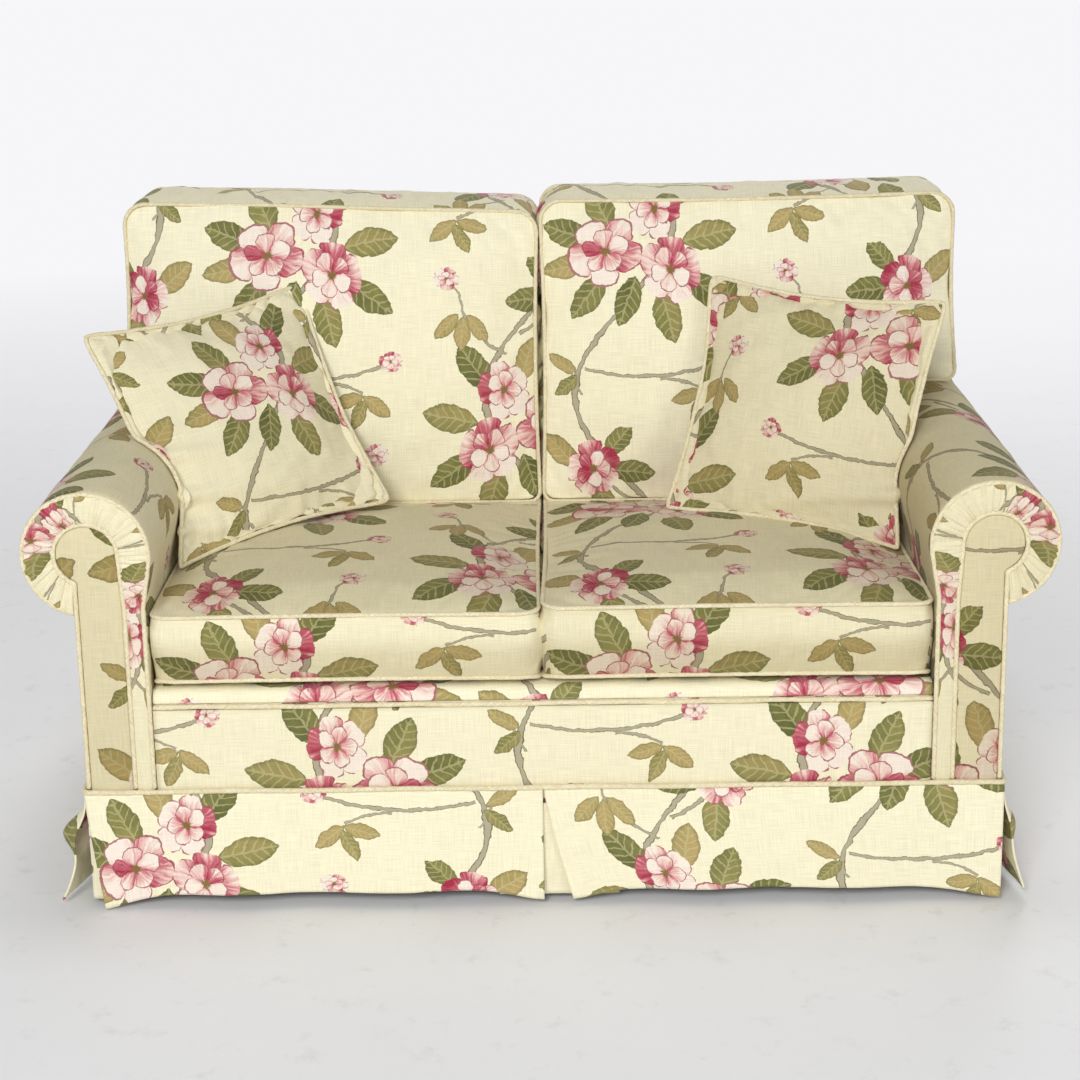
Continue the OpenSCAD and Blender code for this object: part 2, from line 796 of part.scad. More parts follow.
function turn_x(p, a) = [p[0], p[1] * cos(a) - p[2] * sin(a), p[1] * sin(a) + p[2] * cos(a)];
function turn_y(p, a) = [p[0] * cos(a) + p[2] * sin(a), p[1], -p[0] * sin(a) + p[2] * cos(a)];
function turn_z(p, a) = [p[0] * cos(a) - p[1] * sin(a), p[0] * sin(a) + p[1] * cos(a), p[2]];
function lean(p, i) =
    turn_z(turn_y(turn_x(p, scatter_turn[i][0]), scatter_turn[i][1]), scatter_turn[i][2]) + scatter_place[i];

// Where the leaning cushion meets the seat, the arm or the back cushion it is pressed flat
function scatter_rest(p, i) =
    let (out = i == 0 ? -1 : 1,
         crown_y = max(p[1], (seat_front_y + press_y) / 2),
         seat = seat_seam_z + seat_rise([abs(p[0]), crown_y]) + rest_gap,
         q = arm_rest(out * p[0], pressed(p[2], seat)),
         front = inside_y(q[1]) - 2 * rest_gap - back_cushion_t - back_crown)
    [out * q[0], front - pressed(front - p[1], 0), q[1]];

function scatter_ring(s, face, i) = [for (q = scatter_square(scatter_steps)) scatter_rest(lean(scatter_point(q * s, face), i), i)];

module scatter_solid(i) {
    rings = concat(
        [for (j = [len(scatter_rings) - 1:-1:0]) scatter_ring(scatter_rings[j], 1, i)],
        [scatter_ring(1, 0, i)],
        [for (s = scatter_rings) scatter_ring(s, -1, i)]
    );
    stack_of_rings(rings, "tip", scatter_rest(lean(scatter_point([0, 0], 1), i), i),
        scatter_rest(lean(scatter_point([0, 0], -1), i), i));
}

// Feather pad inside, thick in the middle and thin at the rim
module scatter_lens(i) {
    rim_r = 130;
    middle_r = 70;
    half_t = 22;
    translate(lean([0, 0, 25], i)) rotate(scatter_turn[i]) for (a = [90, -90])
        rotate([a, 0, 0]) cylinder(r1 = rim_r, r2 = middle_r, h = half_t);
}

module scatter_cushion(i) {
    color(cream) difference() {
        scatter_solid(i);
        scatter_lens(i);
    }
}

module scatter_pad(i) {
    color(calico) scatter_lens(i);
}

// Skirt. drop runs from 0 at the top edge to 1 at the hem

skirt_drops = [0, 0.35, 0.7, 1];
function drop_z(drop) = skirt_top + (hem_z - skirt_top) * drop;
function fold(t, folds) = 0.58 + 0.42 * cos(360 * folds * t);
function hang(drop) = pow(drop, 1.3);
skirt_x = arm_out + skirt_t;
skirt_back_y = outside_y(skirt_top);

// Ring of a front panel between x0 and x1
function front_ring(x0, x1, n, drop) = concat(
    [for (i = [0:n]) let (t = i / n)
        [x0 + (x1 - x0) * t, face_y - skirt_t - skirt_flare * hang(drop) * fold(t, front_folds), drop_z(drop)]],
    [for (i = [n:-1:0]) let (t = i / n)
        [x0 + (x1 - x0) * t, face_y - skirt_flare * hang(drop) * fold(t, front_folds), drop_z(drop)]]
);

module skirt_front(side) {
    open_hem = 43;
    rings = [for (drop = skirt_drops)
        side == left ? front_ring(-skirt_x, -1, 24, drop)
            : front_ring(1 + open_hem * hang(drop), skirt_x, 24, drop)];
    color(cream) stack_of_rings(rings, "flat");
}

module skirt_side(side) {
    n = 20;
    rings = [for (drop = skirt_drops)
        let (reach = function (t) side_flare * hang(drop) * (0.3 + 0.7 * pow(abs(2 * t - 1), 3) + 0.1 * cos(720 * t)) / 1.1)
        concat(
            [for (i = [0:n]) let (t = i / n)
                [arm_out + skirt_t + reach(t), face_y + (skirt_back_y - face_y) * t, drop_z(drop)]],
            [for (i = [n:-1:0]) let (t = i / n)
                [arm_out + reach(t), face_y + (skirt_back_y - face_y) * t, drop_z(drop)]]
        )];
    color(cream) on_side(side) stack_of_rings(rings, "flat");
}

module skirt_back() {
    n = 30;
    rings = [for (drop = skirt_drops) concat(
        [for (i = [0:n]) let (t = i / n)
            [skirt_x - 2 * skirt_x * t, skirt_back_y + skirt_t + skirt_flare * hang(drop) * fold(t, 5), drop_z(drop)]],
        [for (i = [n:-1:0]) let (t = i / n)
            [skirt_x - 2 * skirt_x * t, skirt_back_y + skirt_flare * hang(drop) * fold(t, 5), drop_z(drop)]]
    )];
    color(cream) stack_of_rings(rings, "flat");
}

// Backing pieces that close the pleats at the centre and the four corners
module pleat_inserts() {
    insert_t = 2;
    leg = 70;
    high = skirt_top - skirt_lap;
    corner_high = high - 15;
    front = face_y + 0.5;
    back = outside_y(corner_high);
    color(cream) translate([0, 0, hem_z]) {
        translate([-leg, front, 0]) cube([leg + 115, insert_t, high - hem_z]);
        both_sides() linear_extrude(corner_high - hem_z) {
            polygon([
                [arm_out - leg, front], [arm_out + insert_t, front], [arm_out + insert_t, front + leg],
                [arm_out, front + leg], [arm_out, front + insert_t], [arm_out - leg, front + insert_t]
            ]);
            polygon([
                [arm_out - leg, back + insert_t], [arm_out + insert_t, back + insert_t],
                [arm_out + insert_t, back - leg], [arm_out, back - leg], [arm_out, back],
                [arm_out - leg, back]
            ]);
        }
    }
}

module skirt_piping() {
    z = skirt_top + piping_r;
    x = arm_out + piping_r;
    front = face_y - piping_r;
    back = outside_y(z + piping_r) + piping_r;
    color(cream) translate([0, 0, z]) {
        for (y = [front, back]) translate([-x, y, 0]) rotate([0, 90, 0]) cylinder(r = piping_r, h = 2 * x);
        both_sides() {
            translate([x, front, 0]) rotate([-90, 0, 0]) cylinder(r = piping_r, h = back - front);
            for (y = [front, back]) translate([x, y, 0]) sphere(r = piping_r);
        }
    }
}

front_rail();
back_rail();
side_rail(left);  // side_rail_left
side_rail(right);  // side_rail_right
centre_stretcher();
corner_blocks();
arm_board(left);  // arm_board_left
arm_board(right);  // arm_board_right
arm_rails(left);  // arm_rails_left
arm_rails(right);  // arm_rails_right
back_post(left);  // back_post_left
back_post(right);  // back_post_right
back_top_rail();
back_tack_rail();
front_feet();
rear_feet();
foot_glides();
dust_cloth();
seat_springs();
spring_clips();
back_webbing();
seat_platform();
platform_lip();
front_border();
border_piping();
arm_pad(left);  // arm_pad_left
arm_pad(right);  // arm_pad_right
arm_cover(left);  // arm_cover_left
arm_cover(right);  // arm_cover_right
outside_arm(left);  // outside_arm_left
outside_arm(right);  // outside_arm_right
arm_facing(left);  // arm_facing_left
arm_facing(right);  // arm_facing_right
arm_ruche(left);  // arm_ruche_left
arm_ruche(right);  // arm_ruche_right
arm_piping(left);  // arm_piping_left
arm_piping(right);  // arm_piping_right
back_pad();
inside_back();
outside_back();
skirt_front(left);  // skirt_front_left
skirt_front(right);  // skirt_front_right
skirt_side(left);  // skirt_side_left
skirt_side(right);  // skirt_side_right
skirt_back();
pleat_inserts();
skirt_piping();
seat_cushion(left);  // seat_cushion_left
seat_cushion(right);  // seat_cushion_right
seat_core(left);  // seat_core_left
seat_core(right);  // seat_core_right
back_cushion(left);  // back_cushion_left
back_cushion(right);  // back_cushion_right
back_fill(left);  // back_fill_left
back_fill(right);  // back_fill_right
scatter_cushion(0);  // scatter_cushion_left
scatter_cushion(1);  // scatter_cushion_right
scatter_pad(0);  // scatter_pad_left
scatter_pad(1);  // scatter_pad_right
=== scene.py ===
import math
import bmesh
import bpy
import numpy as np
from functools import partial
from mathutils import Matrix, Vector


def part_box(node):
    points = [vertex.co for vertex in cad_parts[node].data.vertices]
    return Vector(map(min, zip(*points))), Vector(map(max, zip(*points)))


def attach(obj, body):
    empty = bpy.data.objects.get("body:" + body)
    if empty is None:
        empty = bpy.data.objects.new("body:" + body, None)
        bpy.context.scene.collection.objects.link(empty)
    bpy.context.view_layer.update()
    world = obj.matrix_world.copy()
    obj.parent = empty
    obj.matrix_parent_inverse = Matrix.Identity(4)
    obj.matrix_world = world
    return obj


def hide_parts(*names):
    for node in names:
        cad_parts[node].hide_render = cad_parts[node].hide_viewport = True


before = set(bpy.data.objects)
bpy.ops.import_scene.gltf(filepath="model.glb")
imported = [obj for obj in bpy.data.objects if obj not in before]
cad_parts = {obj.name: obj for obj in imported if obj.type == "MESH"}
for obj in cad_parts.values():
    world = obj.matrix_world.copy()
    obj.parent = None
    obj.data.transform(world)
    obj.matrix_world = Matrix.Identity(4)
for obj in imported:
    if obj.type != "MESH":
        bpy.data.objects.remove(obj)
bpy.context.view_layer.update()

print("sofa: packed frame loaded,", len(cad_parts), "nodes")

# Sizes in metres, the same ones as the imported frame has
sofa = {
    "backY": 0.460, "armOut": 0.700, "armIn": 0.592, "coverX": 0.5915, "scrollX": 0.677,
    "scrollZ": 0.574, "scrollR": 0.098, "taperZ": 0.490, "discR": 0.048, "facingX": 0.624,
    "faceY": -0.446, "boardY": -0.440,
    "armEndY": 0.3851, "deckZ": 0.353, "seatSeamZ": 0.473, "seatFrontY": -0.441, "seatBackY": 0.262,
    "seatMiddle": 0.296, "seatHalf": 0.2945, "insideY": 0.269, "rakeAngle": math.radians(12),
    "outsideRake": math.tan(math.radians(5)), "backH": 0.850, "rollR": 0.04717, "pillowZ": 0.4734,
    "backTop": 0.992, "backThick": 0.180, "earX": 0.727, "armTop": 0.672, "skirtTop": 0.190,
    "hemZ": 0.012, "pipingR": 0.004, "railY": -0.434, "panelLow": 0.095, "bottomZ": 0.312,
}
rollZ = sofa["backH"] - sofa["rollR"]
rollY = sofa["backY"] - sofa["rollR"]
# height at which the scroll meets the outside of the arm
armLowZ = sofa["scrollZ"] - math.sqrt(sofa["scrollR"] ** 2 - (sofa["armOut"] - sofa["scrollX"]) ** 2)


# Camera at the photograph's place. Its frame is turned by yaw and pitch, then rolled about the line of sight
view = {"place": (0.03195, -3.3174, 1.5604), "pitch": 13.53, "yaw": 0.53, "roll": -0.93,
        "lens": 67.84, "shiftY": -0.170}


def setCamera():
    pitch, yaw, roll = (math.radians(view[k]) for k in ("pitch", "yaw", "roll"))
    ahead = Vector((-math.sin(yaw) * math.cos(pitch), math.cos(yaw) * math.cos(pitch), -math.sin(pitch)))
    across = Vector((math.cos(yaw), math.sin(yaw), 0))
    down = ahead.cross(across)
    right = across * math.cos(roll) - down * math.sin(roll)
    down = across * math.sin(roll) + down * math.cos(roll)
    data = bpy.data.cameras.new("camera")
    data.lens, data.sensor_width, data.shift_y = view["lens"], 36, view["shiftY"]
    data.clip_end = 200
    camera = bpy.data.objects.new("camera", data)
    turn = Matrix((right, -down, -ahead)).transposed()
    camera.matrix_world = Matrix.Translation(view["place"]) @ turn.to_4x4()
    bpy.context.scene.collection.objects.link(camera)
    bpy.context.scene.camera = camera


setCamera()


def insideY(z):  # the inside back is a plane that leans back as it rises
    return sofa["insideY"] + (z - sofa["deckZ"]) * math.tan(sofa["rakeAngle"])


def outsideY(z):  # the outside back comes in towards the floor
    return sofa["backY"] - (rollZ - z) * sofa["outsideRake"]


# angle, in the turn above 0, at which a line from the foot touches a circle round the scroll
def touchAngle(foot, r):
    dx, dz = foot[0] - sofa["scrollX"], foot[1] - sofa["scrollZ"]
    return math.atan2(dz, dx) - math.acos(r / math.hypot(dx, dz)) + 2 * math.pi


def linear(hexColour):  # sRGB hex to linear light
    c = np.array([int(hexColour[i:i + 2], 16) / 255 for i in (1, 3, 5)])
    c = np.where(c <= 0.04045, c / 12.92, ((c + 0.055) / 1.055) ** 2.4)
    return (*c.tolist(), 1.0)


# a value goes to the input at its place or of its name; a node or a socket is linked to it
def wire(node, values):
    sockets = [s for s in node.inputs if s.enabled]
    for key, value in (values if isinstance(values, dict) else dict(enumerate(values))).items():
        socket = node.inputs[key] if isinstance(key, str) else sockets[key]
        if isinstance(value, bpy.types.Node):
            value = next(s for s in value.outputs if s.enabled)
        if isinstance(value, bpy.types.NodeSocket):
            node.id_data.links.new(value, socket)
        else:
            socket.default_value = value


# kind may have a second word: the operation or the type of data
def addNode(tree, kind, values=(), **settings):
    kind, _, word = kind.partition(" ")
    node = tree.nodes.new("ShaderNode" + kind)
    if word:
        setattr(node, "operation" if hasattr(node, "operation") else "data_type", word)
    for name, setting in settings.items():
        setattr(node, name, setting)
    wire(node, values)
    return node


def startMaterial(name, shader):  # gives the material, a function that adds a node to it, and its shader
    material = bpy.data.materials.new(name)
    material.use_nodes = True
    material.node_tree.nodes.clear()
    add = partial(addNode, material.node_tree)
    body = add("BsdfPrincipled", shader)
    add("OutputMaterial", [body])
    return material, add, body


def gridCells(nu, nv):  # the numbers of the four corners of every cell of a grid
    index = np.arange(nu * nv).reshape(nu, nv)
    return np.stack([index[:-1, :-1], index[1:, :-1], index[1:, 1:], index[:-1, 1:]], -1).reshape(-1, 4)


def gridSheet(points, coords):  # every cell between four neighbours of the grid is one face
    quads = gridCells(*points.shape[:2])
    return points.reshape(-1, 3), quads, coords.reshape(-1, 2)[quads]


def meshPiece(name, sheets, body, slotName, material, closed=True):
    starts = np.cumsum([0] + [len(p) for p, _, _ in sheets])
    points = np.concatenate([p for p, _, _ in sheets])
    quads = np.concatenate([q + start for (_, q, _), start in zip(sheets, starts)])
    coords = np.concatenate([c for _, _, c in sheets])
    mesh = bpy.data.meshes.new(name)
    mesh.from_pydata(points.tolist(), [], quads.tolist())
    layer = mesh.uv_layers.new(name="cloth")
    layer.data.foreach_set("uv", coords.astype(np.float32).ravel())
    bm = bmesh.new()
    bm.from_mesh(mesh)
    bmesh.ops.remove_doubles(bm, verts=bm.verts, dist=1e-5)
    bmesh.ops.dissolve_degenerate(bm, dist=1e-7, edges=bm.edges)
    if closed:
        bmesh.ops.recalc_face_normals(bm, faces=bm.faces)
    bm.to_mesh(mesh)
    bm.free()
    mesh.polygons.foreach_set("use_smooth", np.ones(len(mesh.polygons), dtype=bool))
    mesh.materials.append(material)
    piece = bpy.data.objects.new(name, mesh)
    bpy.context.scene.collection.objects.link(piece)
    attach(piece, body)
    return piece


def soilAndShade(piece, amount):  # wear and painted shade, from 0, fresh and lit, to 1, grey, as one number or one for each point
    wear = np.broadcast_to(np.clip(amount, 0, 1), len(piece.data.vertices))
    layer = piece.data.attributes.new("wear", "FLOAT", "POINT")
    layer.data.foreach_set("value", wear.astype(np.float32))


def refine(piece):
    sub = piece.modifiers.new("refine", "SUBSURF")
    sub.levels = sub.render_levels = 1


def softNoise(p, size, seed, octaves=3):
    # sum of sine waves in seeded directions, each octave at half the wavelength and height; about -1 to 1
    rng = np.random.default_rng(seed)
    total, height = np.zeros(p.shape[:-1]), 1.0
    for octave in range(octaves):
        for _ in range(5):
            way = rng.normal(size=3)
            way /= np.linalg.norm(way)
            turns = p @ way * 2 * math.pi * 2 ** octave / size * rng.uniform(0.7, 1.3)
            total += height * np.sin(turns + rng.uniform(0, 6.28))
        height *= 0.5
    return total / 4.5


# sum of the steps up to each point; a closed path comes back to its start
def lengthAlong(path, closed=False):
    if closed:
        path = np.vstack([path, path[:1]])
    return np.concatenate([[0], np.cumsum(np.linalg.norm(np.diff(path, axis=0), axis=1))])


def unit(v):
    return v / np.linalg.norm(v, axis=-1)[..., None]


def resample(path, count, closed=False):  # points at even steps of length along a polyline
    path = np.asarray(path, float)
    if closed:
        path = np.vstack([path, path[:1]])
    run = lengthAlong(path)
    at = np.linspace(0, run[-1], count, endpoint=not closed)
    return np.stack([np.interp(at, run, path[:, k]) for k in range(path.shape[1])], -1), run[-1]


def tube(path, radius, across, sides=10, closed=False, seed=1):
    # a circle carried along the path; across gives each ring its turn, and the radius wavers a little
    path = np.asarray(path, float)
    if closed:
        path = np.vstack([path, path[:1]])
    ahead = np.gradient(path, axis=0)
    if closed:
        ahead[0] = ahead[-1] = path[1] - path[-2]
    ahead = unit(ahead)
    side = unit(np.cross(ahead, np.broadcast_to(across, ahead.shape)))
    up = np.cross(side, ahead)
    run = lengthAlong(path)
    turn = np.linspace(0, 2 * math.pi, sides + 1)
    turns = run * 2 * math.pi
    wave = 0.06 * np.sin(turns / 0.031 + seed) + 0.04 * np.sin(turns / 0.013 + 2 * seed)
    if closed:
        wave *= np.minimum(1, np.minimum(run, run[-1] - run) / 0.02)
    ring = side[:, None] * np.cos(turn)[None, :, None] + up[:, None] * np.sin(turn)[None, :, None]
    points = path[:, None] + ring * (radius * (1 + wave))[:, None, None]
    coords = np.stack(np.broadcast_arrays(run[:, None], turn[None, :] * radius), -1)
    sheets = [gridSheet(points, coords)]
    if not closed:
        for end in (0, -1):
            cap = np.stack([points[end], np.broadcast_to(path[end], points[end].shape)])
            sheets.append(gridSheet(cap, np.stack([coords[end], coords[end]])))
    return sheets


def drawnRun(p, q, draw, step=0.006):  # straight run whose middle is pulled in to the left of its way
    p, q = np.array(p, float), np.array(q, float)
    length = np.linalg.norm(q - p)
    d = (q - p) / length
    t = np.linspace(0, 1, max(2, int(length / step)) + 1)[:, None]
    return p + (q - p) * t + np.array([-d[1], d[0]]) * draw * np.sin(math.pi * t)


def bend(c, r, a0, a1, step=0.004):  # arc of a circle round c, between two angles in degrees
    a = np.radians(np.linspace(a0, a1, max(3, int(abs(math.radians(a1 - a0)) * r / step)) + 1))
    return np.stack([c[0] + r * np.cos(a), c[1] + r * np.sin(a)], -1)


def joinRuns(runs):  # closed outline with no doubled points
    p = np.vstack(runs)
    keep = np.linalg.norm(p - np.roll(p, 1, axis=0), axis=1) > 1e-6
    return p[keep]


def insideOutline(p, outline):  # even or odd count of edges to the right of each point
    a, b = outline, np.roll(outline, -1, axis=0)
    x, z = p[:, None, 0], p[:, None, 1]
    cross = (a[None, :, 1] > z) != (b[None, :, 1] > z)
    with np.errstate(divide="ignore", invalid="ignore"):
        at = a[None, :, 0] + (z - a[None, :, 1]) * (b - a)[None, :, 0] / (b - a)[None, :, 1]
    return (np.sum(cross & (x < at), axis=1) % 2) == 1


def nearestOn(p, outline):  # nearest point of the outline to each point
    a, b = outline, np.roll(outline, -1, axis=0)
    d = b - a
    along = np.einsum("ijk,jk->ij", p[:, None] - a[None], d)
    t = np.clip(along / np.maximum(np.sum(d * d, axis=1), 1e-12), 0, 1)
    q = a[None] + t[..., None] * d[None]
    best = np.argmin(np.sum((q - p[:, None]) ** 2, axis=2), axis=1)
    return q[np.arange(len(p)), best]


def panelGrid(outline, step, breaks=((), ()), holes=()):
    # even grid: cells whose middle lies inside the outline are kept, and the rim points move onto it
    axes = []
    for k in (0, 1):
        marks = sorted({outline[:, k].min(), outline[:, k].max(), *breaks[k]})
        axes.append(np.concatenate([np.linspace(lo, hi, max(2, round((hi - lo) / step)) + 1)[(i > 0):]
                                    for i, (lo, hi) in enumerate(zip(marks, marks[1:]))]))
    gx, gz = np.meshgrid(*axes, indexing="ij")
    nu, nv = gx.shape
    points = np.stack([gx.ravel(), gz.ravel()], -1)
    cells = gridCells(nu, nv)
    middle = points[cells].mean(axis=1)
    keep = insideOutline(middle, outline)
    for hole in holes:
        keep &= ~insideOutline(middle, hole)
    cells = cells[keep]
    used, cells = np.unique(cells, return_inverse=True)
    cells = cells.reshape(-1, 4)
    points = points[used]
    edges = np.stack([cells, np.roll(cells, -1, axis=1)], -1).reshape(-1, 2)
    key = np.sort(edges, axis=1)
    _, first, count = np.unique(key, axis=0, return_index=True, return_counts=True)
    rimEdges = edges[first[count == 1]]
    rim = np.unique(rimEdges)
    target = nearestOn(points[rim], outline)
    for hole in holes:
        other = nearestOn(points[rim], hole)
        closer = np.linalg.norm(other - points[rim], axis=1) < np.linalg.norm(target - points[rim], axis=1)
        target[closer] = other[closer]
    points[rim] = target
    return points, cells, rimEdges


def noRise(p):
    return 0 * p[:, 0]


# rise from the seam: one less e to the power of minus distance over reach
def puffed(outline, height, reach):
    return lambda p: height * (1 - np.exp(-np.linalg.norm(nearestOn(p, outline) - p, axis=1) / reach))


def boxedShell(outline, place, thick, step, crowns, bulge=0.0, fullAt=0.5, rows=6, breaks=((), ()), holes=(),
               shift=(0, 0)):
    # two panels of one outline, joined by a strip that swells by a sine between its seams, most at fullAt;
    # place(points, depth) gives the place in the sofa; crowns are the two panels' rises over the outline
    points, cells, rimEdges = panelGrid(outline, step, breaks, holes)
    ease = puffed(outline, 1, 0.012)(points)  # no rise at the seam itself
    ease[np.unique(rimEdges)] = 0
    back = place(points, -crowns[0](points) * ease)
    front = place(points, thick + crowns[1](points) * ease)
    flat = points + np.array(shift)
    sheets = [(front, cells, flat[cells]), (back, cells[:, ::-1], (flat * [-1, 1])[cells[:, ::-1]])]
    a, b = points[rimEdges[:, 0]], points[rimEdges[:, 1]]
    out = np.stack([(b - a)[:, 1], -(b - a)[:, 0]], -1)
    outAt = np.zeros_like(points)
    np.add.at(outAt, rimEdges[:, 0], out)
    np.add.at(outAt, rimEdges[:, 1], out)
    outAt /= np.maximum(np.linalg.norm(outAt, axis=1), 1e-9)[:, None]
    t = np.linspace(0, 1, rows + 1)
    swell = bulge * np.sin(math.pi * t ** (math.log(0.5) / math.log(fullAt)))
    strip = []
    for e in (0, 1):
        p = points[rimEdges[:, e]]
        o = outAt[rimEdges[:, e]]
        strip.append(np.stack([place(p + o * s, np.full(len(p), thick * u)) for u, s in zip(t, swell)], 1))
    steep = np.abs((b - a)[:, 1]) > np.abs((b - a)[:, 0])
    along = np.stack([np.where(steep, a[:, 1], a[:, 0]), np.where(steep, b[:, 1], b[:, 0])], -1)
    m = len(rimEdges)
    base = np.arange(m * 2 * (rows + 1)).reshape(m, 2, rows + 1)
    quads = np.stack([base[:, 0, :-1], base[:, 1, :-1], base[:, 1, 1:], base[:, 0, 1:]], -1).reshape(-1, 4)
    run = np.broadcast_to(along[:, :, None], base.shape)
    rise = np.broadcast_to((thick * t)[None, None, :], base.shape)
    swap = np.broadcast_to(steep[:, None, None], base.shape)
    coords = np.stack([np.where(swap, rise + 0.11, run), np.where(swap, run, rise)], -1)
    coords = coords.reshape(-1, 2) + np.array(shift)
    if thick < 0.02:  # a thin panel's edge carries on what its face has at the rim
        ends = np.stack([flat[rimEdges[:, 0]], flat[rimEdges[:, 1]]], 1)
        coords = np.broadcast_to(ends[:, :, None], (m, 2, rows + 1, 2)).reshape(-1, 2)
    sheets.append((np.stack(strip, 1).reshape(-1, 3), quads, coords[quads]))  # by edge, end and row
    return sheets


stuffing = {"frames": 20, "pressure": 4.0, "quality": 5, "mass": 0.25, "tension": 15, "shear": 5,
            "bending": 0.6}


def pinAndInflate(jobs):
    # every padded piece swells under air pressure between its pinned seams, then its travel is capped
    scene = bpy.context.scene
    rest = {}
    for piece, pins, _, slack in jobs:
        rest[piece.name] = vertexArray(piece)
        group = piece.vertex_groups.new(name="seams")
        for weight in np.unique(pins):
            if weight > 0:
                group.add(np.nonzero(pins == weight)[0].tolist(), float(weight), "REPLACE")
        cloth = piece.modifiers.new("stuffing", "CLOTH")
        s = cloth.settings
        s.quality, s.mass = stuffing["quality"], stuffing["mass"]
        s.tension_stiffness = s.compression_stiffness = stuffing["tension"]
        s.shear_stiffness, s.bending_stiffness = stuffing["shear"], stuffing["bending"]
        s.shrink_min = -slack
        s.use_pressure = True
        s.uniform_pressure_force = stuffing["pressure"]
        s.vertex_group_mass = "seams"
        s.pin_stiffness = 1.0
        s.effector_weights.gravity = 0
        cloth.collision_settings.use_collision = False
    for f in range(1, stuffing["frames"] + 1):
        scene.frame_set(f)
    graph = bpy.context.evaluated_depsgraph_get()
    for piece, pins, cap, _ in jobs:
        swollen = vertexArray(piece.evaluated_get(graph))
        move = swollen - rest[piece.name]
        length = np.linalg.norm(move, axis=1)
        move *= (np.minimum(length, cap) / np.maximum(length, 1e-9))[:, None]
        piece.modifiers.remove(piece.modifiers["stuffing"])
        piece.vertex_groups.clear()
        setVertices(piece, rest[piece.name] + move)
        print("sofa:", piece.name, "swelled by up to", round(float(min(length.max(), cap)) * 1000, 1), "mm")
    scene.frame_set(1)


def vertexArray(piece):
    p = np.empty(len(piece.data.vertices) * 3, dtype=np.float32)
    piece.data.vertices.foreach_get("co", p)
    return p.reshape(-1, 3).astype(float)


def setVertices(piece, p):
    piece.data.vertices.foreach_set("co", p.astype(np.float32).ravel())
    piece.data.update()


def pushed(piece, amount):  # moves each point along its normal
    n = np.empty(len(piece.data.vertices) * 3, dtype=np.float32)
    piece.data.vertex_normals.foreach_get("vector", n)
    setVertices(piece, vertexArray(piece) + n.reshape(-1, 3) * amount[:, None])


# A generic traditional print: clusters of open blossom, buds and toothed leaves on a winding branch.
# A motif: place in the repeat (m), turn in degrees, size (m); leaves and twigs have more, as their notes say
printShape = {
    "repeat": (0.370, 0.610),
    "ground": "#F7F0D0", "pale": "#F8EADC", "blush": "#EBC2B8", "rose": "#CB6F7B", "crimson": "#A8304A",
    # worn: the grey that wear and painted shade lay over the cover
    "line": "#9C4656", "worn": "#B7AB86", "soiled": "#C9BD97", "leafDark": "#636739", "leafMid": "#8C8950",
    "leafTan": "#B9A36B", "vein": "#CBC391", "bark": "#B4AC92", "barkLine": "#736A50", "heart": "#8A6A3E",
    "blooms": [(-0.062, -0.006, 20, 0.072), (0.050, -0.038, 115, 0.068), (0.024, 0.066, 250, 0.060),
               (-0.088, 0.232, 70, 0.060), (0.122, 0.262, 10, 0.026), (0.150, -0.186, 200, 0.024)],
    # leaf: middle, turn, half length, width as a share of it, tone from 0 dark to 2 tan
    "leaves": [(-0.128, 0.026, 160, 0.047, 1.0, 0.2), (-0.072, 0.070, 115, 0.047, 1.0, 0.7),
               (-0.018, 0.116, 105, 0.042, 1.0, 1.8), (0.076, 0.108, 55, 0.049, 0.95, 0.1),
               (0.118, 0.020, 12, 0.049, 1.0, 1.0), (0.114, -0.074, -35, 0.049, 0.95, 0.3),
               (0.044, -0.116, -75, 0.047, 1.0, 0.8), (-0.024, -0.090, -110, 0.045, 0.95, 0.1),
               (-0.092, -0.082, -130, 0.049, 0.9, 0.5), (-0.132, -0.032, 190, 0.044, 0.9, 1.5),
               (-0.022, 0.226, -5, 0.043, 1.0, 0.2), (-0.072, 0.164, -80, 0.041, 1.0, 0.9),
               (-0.146, 0.262, 140, 0.041, 1.0, 1.6), (-0.044, 0.282, 50, 0.036, 1.0, 0.6),
               (0.070, 0.176, -125, 0.030, 0.85, 1.8), (0.096, 0.166, -85, 0.032, 0.8, 1.9),
               (0.122, 0.180, -45, 0.030, 0.85, 1.7), (0.076, -0.252, 195, 0.029, 0.85, 1.8),
               (0.094, -0.276, -115, 0.030, 0.8, 1.2), (0.126, -0.262, -40, 0.030, 0.85, 1.9),
               (-0.140, -0.198, 150, 0.028, 0.85, 1.7), (-0.134, -0.236, -140, 0.028, 0.85, 0.8)],
    # twig: from, to, how far its middle bows, half thickness
    "twigs": [((-0.004, 0.165), (-0.088, 0.232), 0.15, 0.0034),
              ((0.020, 0.130), (0.094, 0.206), -0.2, 0.0028),
              ((0.094, 0.206), (0.122, 0.262), 0.2, 0.0021),
              ((-0.100, -0.205), (0.150, -0.188), -0.16, 0.0032),
              ((0.030, -0.222), (0.102, -0.240), 0.15, 0.0024),
              ((-0.104, -0.250), (-0.124, -0.212), 0.1, 0.0022)],
    "branch": (-0.030, 0.088, 1.0, 0.0056),  # middle, swing, phase and half thickness
    "leafLens": 0.72,  # how far the centres of the two circles lie from the leaf's middle
}


def weave(add, flat, warpScale, weftScale):  # two noises, each stretched along the threads of one way, added
    warp, weft = (add("TexNoise", {"Vector": add("Mapping", {"Vector": flat, "Scale": scale}), "Scale": 1.0,
                                   "Detail": 1.0}, noise_dimensions="2D") for scale in (warpScale, weftScale))
    return add("Math ADD", [warp, weft])


